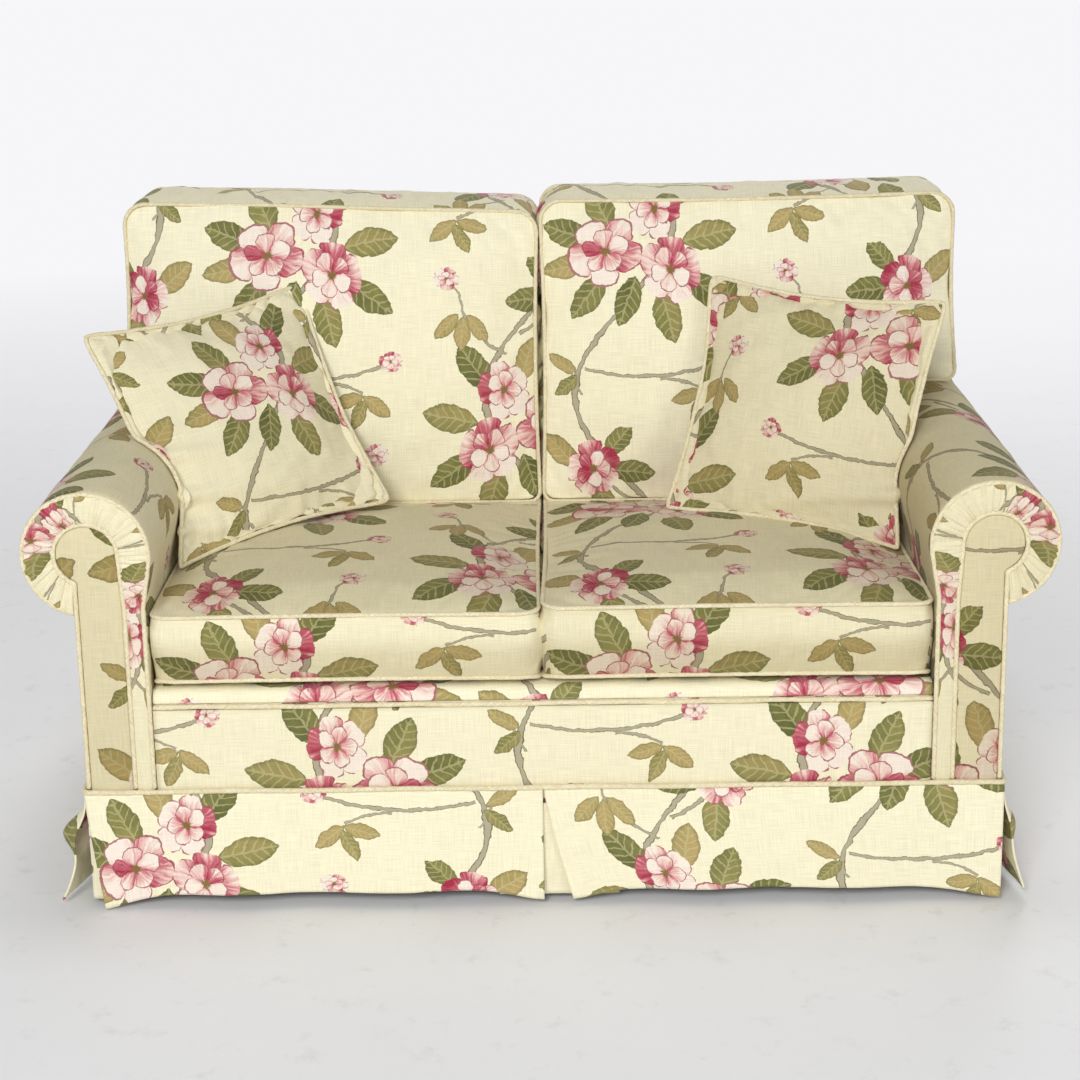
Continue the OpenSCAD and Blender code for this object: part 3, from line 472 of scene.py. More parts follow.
def printedLinenMaterial():
    # heavy linen union, plain woven with slubs and screen printed: matt, the ink leaves the weave to show
    s = printShape
    material, add, body = startMaterial("printedLinen", {"Roughness": 0.9, "Specular IOR Level": 0.2,
                                                         "Sheen Weight": 0.08, "Sheen Roughness": 0.5})
    width, height = s["repeat"]
    uv = add("UVMap", uv_map="cloth")
    # the hand in the drawing: a noise moves every line of it by a few millimetres
    stroke = {"Vector": uv, "Scale": 55.0, "Detail": 3.0, "Roughness": 0.62}
    shake = add("TexNoise", stroke, noise_dimensions="2D")
    shaken = add("VectorMath MULTIPLY_ADD", [shake.outputs["Color"], (0.009, 0.009, 0.0), uv])
    flat = add("SeparateXYZ", [shaken])
    # every second column of the repeat is mirrored and dropped by half its height
    column = add("Math FLOOR", [add("Math DIVIDE", [flat, width])])
    odd = add("Math FLOORED_MODULO", [column, 2.0])
    middle = add("Math SUBTRACT", [add("Math FLOORED_MODULO", [flat, width]), width / 2])
    x = add("Math MULTIPLY", [middle, add("Math MULTIPLY_ADD", [odd, -2.0, 1.0])])
    dropped = add("Math MULTIPLY_ADD", [odd, height / 2, flat.outputs["Y"]])
    y = add("Math SUBTRACT", [add("Math FLOORED_MODULO", [dropped, height]), height / 2])
    cell = add("CombineXYZ", [x, y])

    # branch: its middle swings by a sine over the repeat, and its girth by one seven times as quick
    middle, swing, phase, thick = s["branch"]
    sway = add("Math SINE", [add("Math MULTIPLY_ADD", [y, 2 * math.pi / height, phase])])
    off = add("Math ABSOLUTE", [add("Math ADD", [add("Math MULTIPLY_ADD", [sway, -swing, -middle]), x])])
    knot = add("Math SINE", [add("Math MULTIPLY", [y, 2 * math.pi / height * 7])])
    depth = add("Math DIVIDE", [off, add("Math MULTIPLY_ADD", [knot, 0.22 * thick, thick])])
    for (x0, y0), (x1, y1), bow, thick in s["twigs"]:  # a parabola between two points
        half, turn = math.hypot(x1 - x0, y1 - y0) / 2, math.atan2(y1 - y0, x1 - x0)
        place = ((x0 + x1) / 2 - bow * half * math.sin(turn), (y0 + y1) / 2 + bow * half * math.cos(turn), 0)
        local = add("Mapping", {"Vector": cell, "Location": place, "Rotation": (0, 0, turn),
                                "Scale": (half, half, 1)}, vector_type="TEXTURE")
        part = add("SeparateXYZ", [local])
        square = add("Math MULTIPLY", [part, part])
        bowed = add("Math MULTIPLY_ADD", [square, bow, part.outputs["Y"]])
        near = add("Math MULTIPLY", [add("Math ABSOLUTE", [bowed]), half / thick])
        # ends at both points
        twig = add("Math MULTIPLY_ADD", [add("Math GREATER_THAN", [square, 1.0]), 9.0, near])
        depth = add("Math MINIMUM", [depth, twig])
    bark = add("Math LESS_THAN", [depth, 1.0])
    barkEdge = add("Math GREATER_THAN", [depth, 0.72])
    barkTone = add("Mix RGBA", [barkEdge, linear(s["bark"]), linear(s["barkLine"])])
    colour = add("Mix RGBA", [bark, linear(s["ground"]), barkTone])

    # distance from the centre of the circle that bounds the half of the leaf which holds the point
    def leafReach(at):
        folded = add("VectorMath ABSOLUTE", [at])
        fromCentre = add("VectorMath MULTIPLY_ADD", [folded, (1, 1, 0), (0, s["leafLens"], 0)])
        return add("VectorMath LENGTH", [fromCentre])

    # leaves: each is where two circles overlap; the last one that covers a point hands on its own coordinates
    spot = leafMask = None
    for cx, cy, turn, half, share, tone in s["leaves"]:
        local = add("Mapping", {"Vector": cell, "Location": (cx, cy, -tone),
                                "Rotation": (0, 0, math.radians(turn)),
                                "Scale": (half, half * share, 1)}, vector_type="TEXTURE")
        inside = add("Math LESS_THAN", [leafReach(local), math.sqrt(1 + s["leafLens"] ** 2)])
        spot = local if spot is None else add("Mix VECTOR", [inside, spot, local])
        leafMask = inside if leafMask is None else add("Math MAXIMUM", [leafMask, inside])
    leaf = add("SeparateXYZ", [spot])
    side = add("Math ABSOLUTE", [leaf.outputs["Y"]])
    wave = add("Math SINE", [add("Math MULTIPLY", [add("Math MULTIPLY_ADD", [side, -0.8, leaf]), 20.0])])
    vein = add("Math MAXIMUM", [add("Math GREATER_THAN", [wave, 0.80]), add("Math LESS_THAN", [side, 0.035])])
    cloud = add("TexNoise", {"Vector": spot, "Scale": 2.2, "Detail": 1.0})
    half = add("Math GREATER_THAN", [leaf.outputs["Y"], 0.0])
    tone = add("Math MULTIPLY_ADD", [cloud, 1.1, add("Math MULTIPLY_ADD", [half, 0.35, leaf.outputs["Z"]])])
    green = add("ValToRGB", [add("Math MULTIPLY_ADD", [tone, 0.42, -0.2])])
    setRamp(green, [(0.0, s["leafDark"]), (0.4, s["leafMid"]), (0.85, s["leafTan"])])
    green = add("Mix RGBA", [add("Math MULTIPLY", [vein, 0.5]), green, linear(s["vein"])])
    edge = add("MapRange", [leafReach(spot), 1.10, 1.23, 0.0, 0.55])
    green = add("Mix RGBA", [edge, green, linear(s["leafDark"])])
    colour = add("Mix RGBA", [leafMask, colour, green])

    # distance from the bloom's heart, without the third coordinate, which only tells blooms apart
    def fromHeart(at):
        return add("VectorMath LENGTH", [add("VectorMath MULTIPLY", [at, (1, 1, 0)])])

    # blooms: two rings of five petals, their edge a cosine of the angle; the ink is darkest in the creases
    bloomAt = None
    for k, (cx, cy, turn, size) in enumerate(s["blooms"]):
        local = add("Mapping", {"Vector": cell, "Location": (cx, cy, -1.7 * k),
                                "Rotation": (0, 0, math.radians(turn)),
                                "Scale": (size, size * 0.88, 1)}, vector_type="TEXTURE")
        bloomAt = local if bloomAt is None else add(
            "Mix VECTOR", [add("Math LESS_THAN", [fromHeart(local), 0.86]), bloomAt, local])
    part, r = add("SeparateXYZ", [bloomAt]), fromHeart(bloomAt)
    angle = add("Math ARCTAN2", [part.outputs["Y"], part])
    uneven = add("TexNoise", {"Vector": bloomAt, "Scale": 1.1, "Detail": 1.0})
    warped = add("Math MULTIPLY_ADD", [uneven, 3.0, add("Math MULTIPLY", [angle, 2.5])])
    rings = []
    # the outer ring, then the inner one
    for waveform, gain, least in (("COSINE", 0.34, 0.62), ("SINE", 0.26, 0.34)):
        arch = add("Math ABSOLUTE", [add("Math " + waveform, [warped])])
        edge = add("Math MULTIPLY_ADD", [add("Math POWER", [arch, 0.5]), gain, least])
        rings.append((arch, add("Math DIVIDE", [r, edge])))
    (outerArch, outer), (innerArch, inner) = rings
    isInner, bloomMask = add("Math LESS_THAN", [inner, 1.0]), add("Math LESS_THAN", [outer, 1.0])
    petal, arch = add("Mix FLOAT", [isInner, outer, inner]), add("Mix FLOAT", [isInner, outerArch, innerArch])
    # the petal's number, 0 to 4, with the ring it is in, picks how dark the whole petal is
    half = add("Math MULTIPLY_ADD", [isInner, -0.5, 0.5])
    number = add("Math FLOOR", [add("Math MULTIPLY_ADD", [warped, 1 / math.pi, half])])
    pick = add("CombineXYZ", [add("Math FLOORED_MODULO", [number, 5.0]), isInner, part.outputs["Z"]])
    own = add("TexWhiteNoise", [pick], noise_dimensions="3D")
    ray = add("CombineXYZ", [add("Math MULTIPLY", [angle, 6.0]), r, part.outputs["Z"]])
    streak = add("TexNoise", {"Vector": ray, "Scale": 1.6, "Detail": 2.0})
    deep = add("Math MULTIPLY_ADD", [own, 0.66, -0.34])
    for way, gain in ((streak, 0.75), (uneven, 1.1), (arch, -0.30), (petal, -0.34)):
        deep = add("Math MULTIPLY_ADD", [way, gain, deep])
    pink = add("ValToRGB", [deep])
    setRamp(pink, [(0.30, s["pale"]), (0.48, s["blush"]), (0.66, s["rose"]), (0.90, s["crimson"])])
    rim = add("Math MULTIPLY", [add("Math GREATER_THAN", [petal, 0.94]), 0.85])
    # the stamens end unevenly
    heart = add("Math LESS_THAN", [r, add("Math MULTIPLY_ADD", [streak, 0.30, -0.03])])
    pink = add("Mix RGBA", [rim, pink, linear(s["line"])])
    pink = add("Mix RGBA", [heart, pink, linear(s["heart"])])
    colour = add("Mix RGBA", [bloomMask, colour, pink])

    # linen: thick and thin threads both ways, at twice their 0.6 mm so that they show, and faint soiling
    threads = weave(add, uv, (830, 22, 1), (26, 830, 1))
    dirt = add("TexNoise", {"Vector": add("TexCoord").outputs["Object"], "Scale": 5.0, "Detail": 3.0})
    colour = add("Mix RGBA", [add("MapRange", [dirt, 0.45, 0.75, 0.0, 0.07]), colour, linear(s["soiled"])])
    wear = add("Attribute", attribute_name="wear")  # how grey each part of the cover is, from use and from painted shade
    worn = add("Math MULTIPLY", [wear.outputs["Fac"], 0.85])
    colour = add("Mix RGBA", [worn, colour, linear(s["worn"])], blend_type="MULTIPLY")
    shaded = add("VectorMath SCALE", [colour, add("MapRange", [threads, 0.7, 1.3, 0.90, 1.04])])
    bump = add("Bump", {"Strength": 0.35, "Distance": 0.0005, "Height": threads})
    wire(body, {"Base Color": shaded, "Normal": bump})
    return material


def setRamp(node, stops):
    ramp = node.color_ramp
    while len(ramp.elements) < len(stops):
        ramp.elements.new(0.5)
    for element, (place, colour) in zip(ramp.elements, stops):
        element.position, element.color = place, linear(colour)


def wovenMaterial(name, light, dark, threads, slant=0.0, upright=False):
    # plain weave: uneven threads both ways, so many to the metre, their height in the bump; clouds of soil
    material, add, body = startMaterial(name, {"Roughness": 0.9, "Specular IOR Level": 0.2,
                                               "Sheen Weight": 0.06})
    place = add("TexCoord").outputs["Object"]
    if upright:  # lies in an upright plane and has no layout of its own: width and height stand in for it
        flat = add("Mapping", {"Vector": place, "Rotation": (math.pi / 2, 0, 0)})
    else:
        flat = add("UVMap", uv_map="cloth")
    turned = add("Mapping", {"Vector": flat, "Rotation": (0, 0, math.radians(slant))})
    both = weave(add, turned, (threads, threads / 30, 1), (threads / 26, threads, 1))
    colour = add("Mix RGBA", [add("MapRange", [both, 0.75, 1.25]), linear(dark), linear(light)])
    cloud = add("TexNoise", {"Vector": place, "Scale": 9.0, "Detail": 3.0})
    colour = add("Mix RGBA", [add("MapRange", [cloud, 0.45, 0.75, 0.0, 0.4]), colour, linear(dark)])
    bump = add("Bump", {"Strength": 0.5, "Distance": 0.0005, "Height": both})
    wire(body, {"Base Color": colour, "Normal": bump})
    return material


printedLinen = printedLinenMaterial()
# cut on the cross, so threads wind round
biasPiping = wovenMaterial("biasPiping", "#F1E8CA", "#D6C9A0", 830, slant=45)
calico = wovenMaterial("unbleachedCalico", "#EEE6D2", "#CFC3A3", 1000)
blackLining = wovenMaterial("blackLining", "#232327", "#121214", 1400)


onFrame = ("sofa_frame", "printed_linen", printedLinen)
pipingOnFrame = ("sofa_frame", "cream_piping", biasPiping)


# boxed shell over a rectangle
def flatPanel(name, rect, count, place, thick, step, rise, cover=onFrame, **options):
    shell = boxedShell(resample(rect, count, closed=True)[0], place, thick, step, (noRise, rise), **options)
    return meshPiece(name, shell, *cover)


def rectangle(x0, z0, x1, z1):
    return np.array([(x0, z0), (x1, z0), (x1, z1), (x0, z1)])


# Seat cushions
seatShape = {"thick": 0.120, "crown": 0.022, "draw": 0.004, "cornerR": 0.030, "rearR": 0.014, "step": 0.008,
             "cap": 0.012, "slack": 0.012, "pipingR": 0.0034, "innerX": 0.0045, "outerX": 0.5905,
             "bulge": 0.009, "roundOff": 0.011, "setBack": 0.009, "fuller": {"left": 0.0, "right": 0.008},
             "armGap": 0.0006, "layout": 0.592}
pressY = insideY(sofa["seatSeamZ"]) - sofa["backThick"] - 0.048  # front of the back cushion, where it presses
jobs, after = [], []  # pieces to swell, and pieces to crease and lay


def mirrored(outline, side):  # the left one is the right one turned round in x
    return outline if side > 0 else (outline * [-1, 1])[::-1]


def seatOutline(side):  # rectangle with round corners, its sides drawn in a little
    s = seatShape
    x0, x1, y0, y1 = s["innerX"], s["outerX"], sofa["seatFrontY"], sofa["seatBackY"]
    r, k = s["cornerR"], s["rearR"]
    runs = [
        drawnRun((x0 + r, y0), (x1 - r, y0), s["draw"]), bend((x1 - r, y0 + r), r, -90, 0),
        drawnRun((x1, y0 + r), (x1, y1 - k), s["draw"]), bend((x1 - k, y1 - k), k, 0, 90),
        drawnRun((x1 - k, y1), (x0 + k, y1), 0), bend((x0 + k, y1 - k), k, 90, 180),
        drawnRun((x0, y1 - k), (x0, y0 + r), s["draw"]), bend((x0 + r, y0 + r), r, 180, 270),
    ]
    return mirrored(joinRuns(runs), side)


# crown by a sine from the front to the line where the back cushion presses, falling off to the sides
def seatRise(p):
    u = np.clip(np.abs((np.abs(p[:, 0]) - sofa["seatMiddle"]) / sofa["seatHalf"]), 0, 1)
    t = np.clip((p[:, 1] - sofa["seatFrontY"]) / (pressY - sofa["seatFrontY"]), 0, 1)
    return seatShape["crown"] * np.sin(math.pi * t) ** 0.7 * (1 - u ** 3) ** 0.8


def seatLimits(p):  # flat where it lies on the deck, under the back cushion and beside the arm
    p = p.copy()
    p[:, 2] = np.maximum(p[:, 2], sofa["deckZ"] + 0.0002)
    room = sofa["seatSeamZ"] + 0.050 * np.clip((pressY + 0.02 - p[:, 1]) / 0.08, 0, 1) ** 1.2
    p[:, 2] = np.minimum(p[:, 2], room)
    away = np.clip(np.abs(p[:, 0]), 0.0030, sofa["coverX"])
    p[:, 0] = np.sign(p[:, 0]) * away
    return p


def pipingRing(outline, place, depth, out, radius, seed, across=(0, 0, 1)):
    # piping sits just outside the outline, at the seam between panel and boxing
    ring, _ = resample(outline, int(len(outline) * 0.8), closed=True)
    ahead = np.roll(ring, -1, axis=0) - np.roll(ring, 1, axis=0)
    normal = unit(np.stack([ahead[:, 1], -ahead[:, 0]], -1))
    path = place(ring + normal * out, np.full(len(ring), depth))
    return tube(path, radius, across, closed=True, seed=seed)


for side, word in ((-1, "left"), (1, "right")):
    s, thick = seatShape, seatShape["thick"]
    outline = seatOutline(side)

    # the front is fuller on the right, and its low edge is round
    def place(p, depth, fuller=s["fuller"][word]):
        low = 1 - depth / thick
        lift = fuller * depth / thick * np.clip((-0.18 - p[:, 1]) / 0.2, 0, 1)
        lift = lift + seatShape["roundOff"] * low * np.clip((-0.37 - p[:, 1]) / 0.07, 0, 1) ** 2
        back = seatShape["setBack"] * low * np.clip((-0.40 - p[:, 1]) / 0.04, 0, 1)
        return np.stack([p[:, 0], p[:, 1] + back, sofa["deckZ"] + depth + lift], -1)

    # the piping clears the arm as it slides
    def besideArm(p, depth, reach=sofa["armIn"] - s["armGap"] - s["pipingR"]):
        return np.clip(place(p, depth), (-reach, -1, -1), (reach, 1, 1))

    sheets = boxedShell(outline, place, thick, s["step"], (noRise, seatRise), bulge=s["bulge"], fullAt=0.64,
                        rows=14, shift=(0.0 if side > 0 else s["layout"], 0.30))
    cushion = meshPiece(f"seatCushion_{word}", sheets, f"seat_{word}", "printed_linen", printedLinen)
    p = vertexArray(cushion)
    high = place(p, np.full(len(p), thick))[:, 2]
    low = place(p, np.zeros(len(p)))[:, 2]
    near = np.linalg.norm(nearestOn(p[:, :2], outline) - p[:, :2], axis=1)
    pins = np.where((near < 0.0015) & (np.abs(p[:, 2] - high) < 0.0015), 1.0, 0.0)
    pins = np.where(p[:, 2] < low + 0.0035, 1.0, pins)
    jobs.append((cushion, pins, s["cap"], s["slack"]))
    after.append((cushion, seatLimits, 0.0017, 11 + side))
    for depth, level in ((thick - 0.001, "top"), (0.003, "low")):
        ring = pipingRing(outline, besideArm, depth, 0.0018, s["pipingR"], seed=3 + side)
        meshPiece(f"seatPiping_{word}_{level}", ring, f"seat_{word}", "cream_piping", biasPiping)
    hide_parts(f"seat_cushion_{word}", f"seat_core_{word}")

# Back cushions

backShape = {"crown": 0.034, "draw": 0.005, "cornerR": 0.034, "lowR": 0.016, "notchR": 0.018, "step": 0.008,
             "cap": 0.018, "slack": 0.012, "pipingR": 0.0034, "innerX": 0.0050, "legX": 0.577, "gap": 0.0004,
             "sag": {"left": 0.024, "right": 0.005}, "rollRoom": 0.0995, "deepest": 0.2285}
earLow = sofa["armTop"] + 0.002  # underside of the ear that lies over the arm


def backOutline(side):  # a leg that stands on the seat and an ear over the arm, with round corners
    s = backShape
    x0, x1, x2 = s["innerX"], s["legX"], sofa["earX"]
    z0, z1, z2 = sofa["pillowZ"], earLow, sofa["backTop"]
    r, k, n = s["cornerR"], s["lowR"], s["notchR"]
    runs = [
        drawnRun((x0 + k, z0), (x1 - k, z0), 0), bend((x1 - k, z0 + k), k, -90, 0),
        drawnRun((x1, z0 + k), (x1, z1 - n), 0), bend((x1 + n, z1 - n), n, 180, 90),
        drawnRun((x1 + n, z1), (x2 - k, z1), 0), bend((x2 - k, z1 + k), k, -90, 0),
        drawnRun((x2, z1 + k), (x2, z2 - r), s["draw"]), bend((x2 - r, z2 - r), r, 0, 90),
        drawnRun((x2 - r, z2), (x0 + r, z2), s["draw"]), bend((x0 + r, z2 - r), r, 90, 180),
        drawnRun((x0, z2 - r), (x0, z0 + k), s["draw"]), bend((x0 + k, z0 + k), k, 180, 270),
    ]
    return mirrored(joinRuns(runs), side)


# product of two sines to powers, over the height and the width, most under the middle
def backSwell(x, z, margin=0.0):
    u = np.clip((np.abs(x) - 0.0015) / (sofa["earX"] - 0.0015), margin, 1 - margin)
    t = np.clip((z - sofa["pillowZ"]) / (sofa["backTop"] - sofa["pillowZ"]), margin, 1 - margin)
    return np.sin(math.pi * t ** 0.8) ** 0.6 * np.sin(math.pi * u) ** 0.5


def backRise(p):
    return backShape["crown"] * backSwell(p[:, 0], p[:, 1])


def backSag(p, side):  # the top slopes down to the middle of the sofa
    amount = backShape["sag"]["left" if side < 0 else "right"]
    inwards, upwards = np.clip(1 - np.abs(p[:, 0]) / 0.50, 0, 1), np.clip((p[:, 1] - 0.60) / 0.39, 0, 1)
    return amount * inwards ** 1.3 * upwards ** 1.5


def backLimits(p):  # rests on the seat, the arm roll and the inside back, and is level with its neighbour
    s, p = backShape, p.copy()
    p[:, 2] = np.maximum(p[:, 2], sofa["pillowZ"] + 0.0002)
    away = np.maximum(np.abs(p[:, 0]), 0.0035)
    d = np.stack([away - sofa["scrollX"], p[:, 2] - sofa["scrollZ"]], -1)
    r = np.linalg.norm(d, axis=1)
    low = p[:, 2] < sofa["scrollZ"]
    away = np.where(low, np.minimum(away, s["legX"] + 0.0005), away)
    grow = np.where(~low & (r < s["rollRoom"]), s["rollRoom"] / np.maximum(r, 1e-6), 1.0)
    away = np.where(low, away, sofa["scrollX"] + d[:, 0] * grow)
    p[:, 2] = np.where(low, p[:, 2], sofa["scrollZ"] + d[:, 1] * grow)
    p[:, 0] = np.sign(p[:, 0]) * away
    p[:, 1] = np.clip(p[:, 1], insideY(p[:, 2]) - s["deepest"], insideY(p[:, 2]) - s["gap"])
    return p


for side, word in ((-1, "left"), (1, "right")):
    s, outline = backShape, backOutline(side)

    def backPlace(p, depth, side=side):
        z = p[:, 1] - backSag(p, side)
        return np.stack([p[:, 0], insideY(z) - backShape["gap"] - depth, z], -1)

    sheets = boxedShell(outline, backPlace, sofa["backThick"], s["step"], (noRise, backRise),
                        bulge=0.006, rows=16, breaks=((side * s["legX"],), (earLow,)),
                        shift=(0.0 if side > 0 else seatShape["layout"], 0.0))
    cushion = meshPiece(f"backCushion_{word}", sheets, f"back_{word}", "printed_linen", printedLinen)
    p = vertexArray(cushion)
    depth = insideY(p[:, 2]) - s["gap"] - p[:, 1]
    seam = np.minimum(np.abs(depth - sofa["backThick"]), np.abs(depth))
    sagged = outline - np.stack([0 * outline[:, 0], backSag(outline, side)], -1)
    near = np.linalg.norm(nearestOn(p[:, [0, 2]], sagged) - p[:, [0, 2]], axis=1)
    pins = np.where((near < 0.0015) & (seam < 0.0015), 1.0, 0.0)
    pins = np.where(depth < 0.0005, 1.0, pins)
    jobs.append((cushion, pins, s["cap"], s["slack"]))
    after.append((cushion, backLimits, 0.0032, 21 + side))
    for depth, level in ((sofa["backThick"], "front"), (0.004, "rear")):
        ring = pipingRing(outline, backPlace, depth, 0.0015, s["pipingR"], seed=5 + side, across=(0, 1, 0))
        meshPiece(f"backPiping_{word}_{level}", ring, f"back_{word}", "cream_piping", biasPiping)
    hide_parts(f"back_cushion_{word}", f"back_fill_{word}")

# Scatter cushions: knife edge squares that lean in the corners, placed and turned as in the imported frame

scatterShape = {"width": 0.418, "thick": 0.112, "pull": 0.10, "power": 0.74, "cells": 80, "cap": 0.010,
                "slack": 0.02, "pipingR": 0.0036, "wave": 0.0045, "pucker": 0.0075, "blunt": 0.035,
                "seatCrown": 0.0255, "rollRoom": 0.0045, "backCrown": 0.0462, "bunch": 0.86,
                # heights of the creases at the outer edge, and depths
                "pinches": {-1: [(-0.020, 0.020), (-0.088, 0.024), (-0.142, 0.016)], 1: [(-0.115, 0.016)]}}
scatterLean = {
    "left": {"place": (-0.500, -0.044, 0.670), "turn": (-33, -4, 38.7)},
    "right": {"place": (0.440, -0.036, 0.675), "turn": (-25, 1.5, -27)},
}


# square whose sides pull in; each face swells by the product of two parabolas, to a power
def scatterPoint(q, face):
    s = scatterShape
    half, a, b = s["width"] / 2, q[..., 0], q[..., 1]
    swell = np.maximum(0, (1 - a * a) * (1 - b * b)) ** s["power"]
    blunt = 1 - s["blunt"] * (np.abs(a) * np.abs(b)) ** 14
    return np.stack([half * a * (1 - s["pull"] * (1 - b * b)) * blunt, face * (s["thick"] / 2) * swell,
                     half * b * (1 - s["pull"] * (1 - a * a)) * blunt], -1)


def rumpled(p, side):  # the whole cushion, its seam too, waves a little out of its plane
    return p + (scatterShape["wave"] * softNoise(p * [1, 0, 1], 0.19, 67 + side, 2))[:, None] * [0, 1, 0]


# short folds square to the seams, that fade away over the face, and deeper pinches beside the arm
def puckers(p, side):
    s, half, total = scatterShape, scatterShape["width"] / 2, 0
    for axis in (0, 2):
        inward = np.maximum(half - np.abs(p[:, axis]) / (1 - 0.5 * s["pull"]), 0)
        squeeze = np.ones(3)
        squeeze[axis] = 0.2
        fade = np.exp(-inward / 0.032) * (1 - np.exp(-inward / 0.008))
        total = total + s["pucker"] * softNoise(p * squeeze, 0.036, 71 + axis + side, 2) * fade
    inward = np.maximum(half - side * p[:, 0], 0)
    for z, depth in s["pinches"][side]:
        crease = np.exp(-((p[:, 2] - z + 0.2 * inward) / 0.013) ** 2 - inward / 0.075)
        total = total - depth * crease * (1 - np.exp(-inward / 0.010))
    return total


def leanTurn(word):
    ax, ay, az = (math.radians(v) for v in scatterLean[word]["turn"])
    return np.array(Matrix.Rotation(az, 3, "Z") @ Matrix.Rotation(ay, 3, "Y") @ Matrix.Rotation(ax, 3, "X"))


def leant(p, side, word):  # rumpled, turned to its lean, put in its corner and pressed by what it rests on
    return scatterRest(rumpled(p, side) @ leanTurn(word).T + scatterLean[word]["place"], side)


# x where it is well above the limit, easing to the limit where it is below
def pressed(x, limit, soft=0.005):
    gap = np.clip((x - limit) / soft, -60, 30)
    return np.where(x - limit > 8 * soft, x, limit + soft * np.log1p(np.exp(gap)))


def scatterRest(p, side):  # pressed flat by the seat, the arm roll and the back cushion that it leans on
    out, z = side * p[:, 0], p[:, 2]
    u = np.clip(np.abs(np.abs(p[:, 0]) - sofa["seatMiddle"]) / sofa["seatHalf"], 0, 1)
    z = pressed(z, sofa["seatSeamZ"] + scatterShape["seatCrown"] * (1 - u ** 3) ** 0.8 + 0.001)
    d = np.stack([out - sofa["scrollX"], z - sofa["scrollZ"]], -1)
    r = np.linalg.norm(d, axis=1)
    room = sofa["scrollR"] + scatterShape["rollRoom"]
    low = z < sofa["scrollZ"]
    away = pressed(np.where(low, sofa["scrollX"] - room - out, r - room), 0)
    x = np.where(low, sofa["scrollX"] - room - away, sofa["scrollX"] + d[:, 0] / r * (room + away))
    z = np.where(low, z, sofa["scrollZ"] + d[:, 1] / r * (room + away))
    front = insideY(z) - sofa["backThick"] - scatterShape["backCrown"] * backSwell(x, z, 0.02) - 0.001
    return np.stack([side * x, front - pressed(front - p[:, 1], 0), z], -1)


scatterMoves = []
for side, word in ((-1, "left"), (1, "right")):
    s = scatterShape
    reach = math.pi / 2 * s["bunch"]
    # closer together at the seams
    line = np.sin(np.linspace(-1, 1, s["cells"] + 1) * reach) / math.sin(reach)
    q = np.stack(np.meshgrid(line, line, indexing="ij"), -1)
    sheets = []
    for face in (-1, 1):
        coords = q * s["width"] / 2 * [-face, 1] + [0.13 if side < 0 else 0.44, 0.36 + 0.11 * side]
        sheets.append(gridSheet(scatterPoint(q, face), coords))
    cushion = meshPiece(f"scatterCushion_{word}", sheets, f"scatter_{word}", "printed_linen", printedLinen)
    p = vertexArray(cushion)
    pins = np.where(np.abs(p[:, 1]) < 1e-6, 1.0, 0.0)
    jobs.append((cushion, pins, s["cap"], s["slack"]))
    scatterMoves.append((cushion, word, side))
    edge = 1 + 0 * line
    rim = np.concatenate([np.stack(pair, -1)[:-1]
                          for pair in ((line, -edge), (edge, line), (-line, edge), (-edge, -line))])
    path, _ = resample(scatterPoint(rim, 0) * [1.009, 1, 1.009], 300, closed=True)
    ring = tube(leant(path, side, word), s["pipingR"], leanTurn(word) @ [0, 1, 0], closed=True, seed=side)
    meshPiece(f"scatterPiping_{word}", ring, f"scatter_{word}", "cream_piping", biasPiping)
    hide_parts(f"scatter_cushion_{word}", f"scatter_pad_{word}")

# Arms. The profile runs up the inner side, over the scroll and down the outer side

armShape = {"across": 170, "along": 110, "soft": 0.0012, "inset": 0.0006, "middle": (0.650, 0.500),
            "panel": 0.003}


def scrollArc(r, a0, a1, count):  # arc of a circle round the scroll's centre
    a = np.linspace(a0, a1, count)
    return np.stack([sofa["scrollX"] + r * np.cos(a), sofa["scrollZ"] + r * np.sin(a)], -1)


def armPath(inset, lowZ, stemX, count):
    # open path: up the inner side, along the line that touches the circle, round it, and down a straight stem
    r = sofa["scrollR"] - inset
    foot = (sofa["armIn"] + inset, sofa["taperZ"])
    a1 = -math.acos((stemX - sofa["scrollX"]) / r)
    path = np.vstack([[(foot[0], lowZ), foot], scrollArc(r, touchAngle(foot, r), a1, 200), [(stemX, lowZ)]])
    return resample(path, count)[0]


def sweptForm(profile, stations, place, inset, coords, middle):
    # closed profile at each station, drawn in to its middle by inset; rings shrink to a point at both ends
    loop = np.vstack([profile, profile[:1]])
    toMiddle = unit(np.asarray(middle) - loop)
    rows = loop[None] + toMiddle[None] * np.asarray(inset)[:, None, None]
    points = place(rows, np.broadcast_to(np.asarray(stations)[:, None], rows.shape[:2]))
    sheets = [gridSheet(points, coords)]
    for end in (0, -1):
        scales = np.array([1, 0.8, 0.55, 0.28, 0])[:, None, None]
        cap = np.asarray(middle) + (rows[end][None] - middle) * scales
        sheets.append(gridSheet(place(cap, np.full(cap.shape[:2], stations[end])), cap))
    return sheets


def alongY(rows, y):  # profile in width and height, carried from front to back
    return np.stack([rows[..., 0], y, rows[..., 1]], -1)


def alongX(rows, x):  # profile in depth and height, carried from side to side
    return np.stack([x, rows[..., 0], rows[..., 1]], -1)


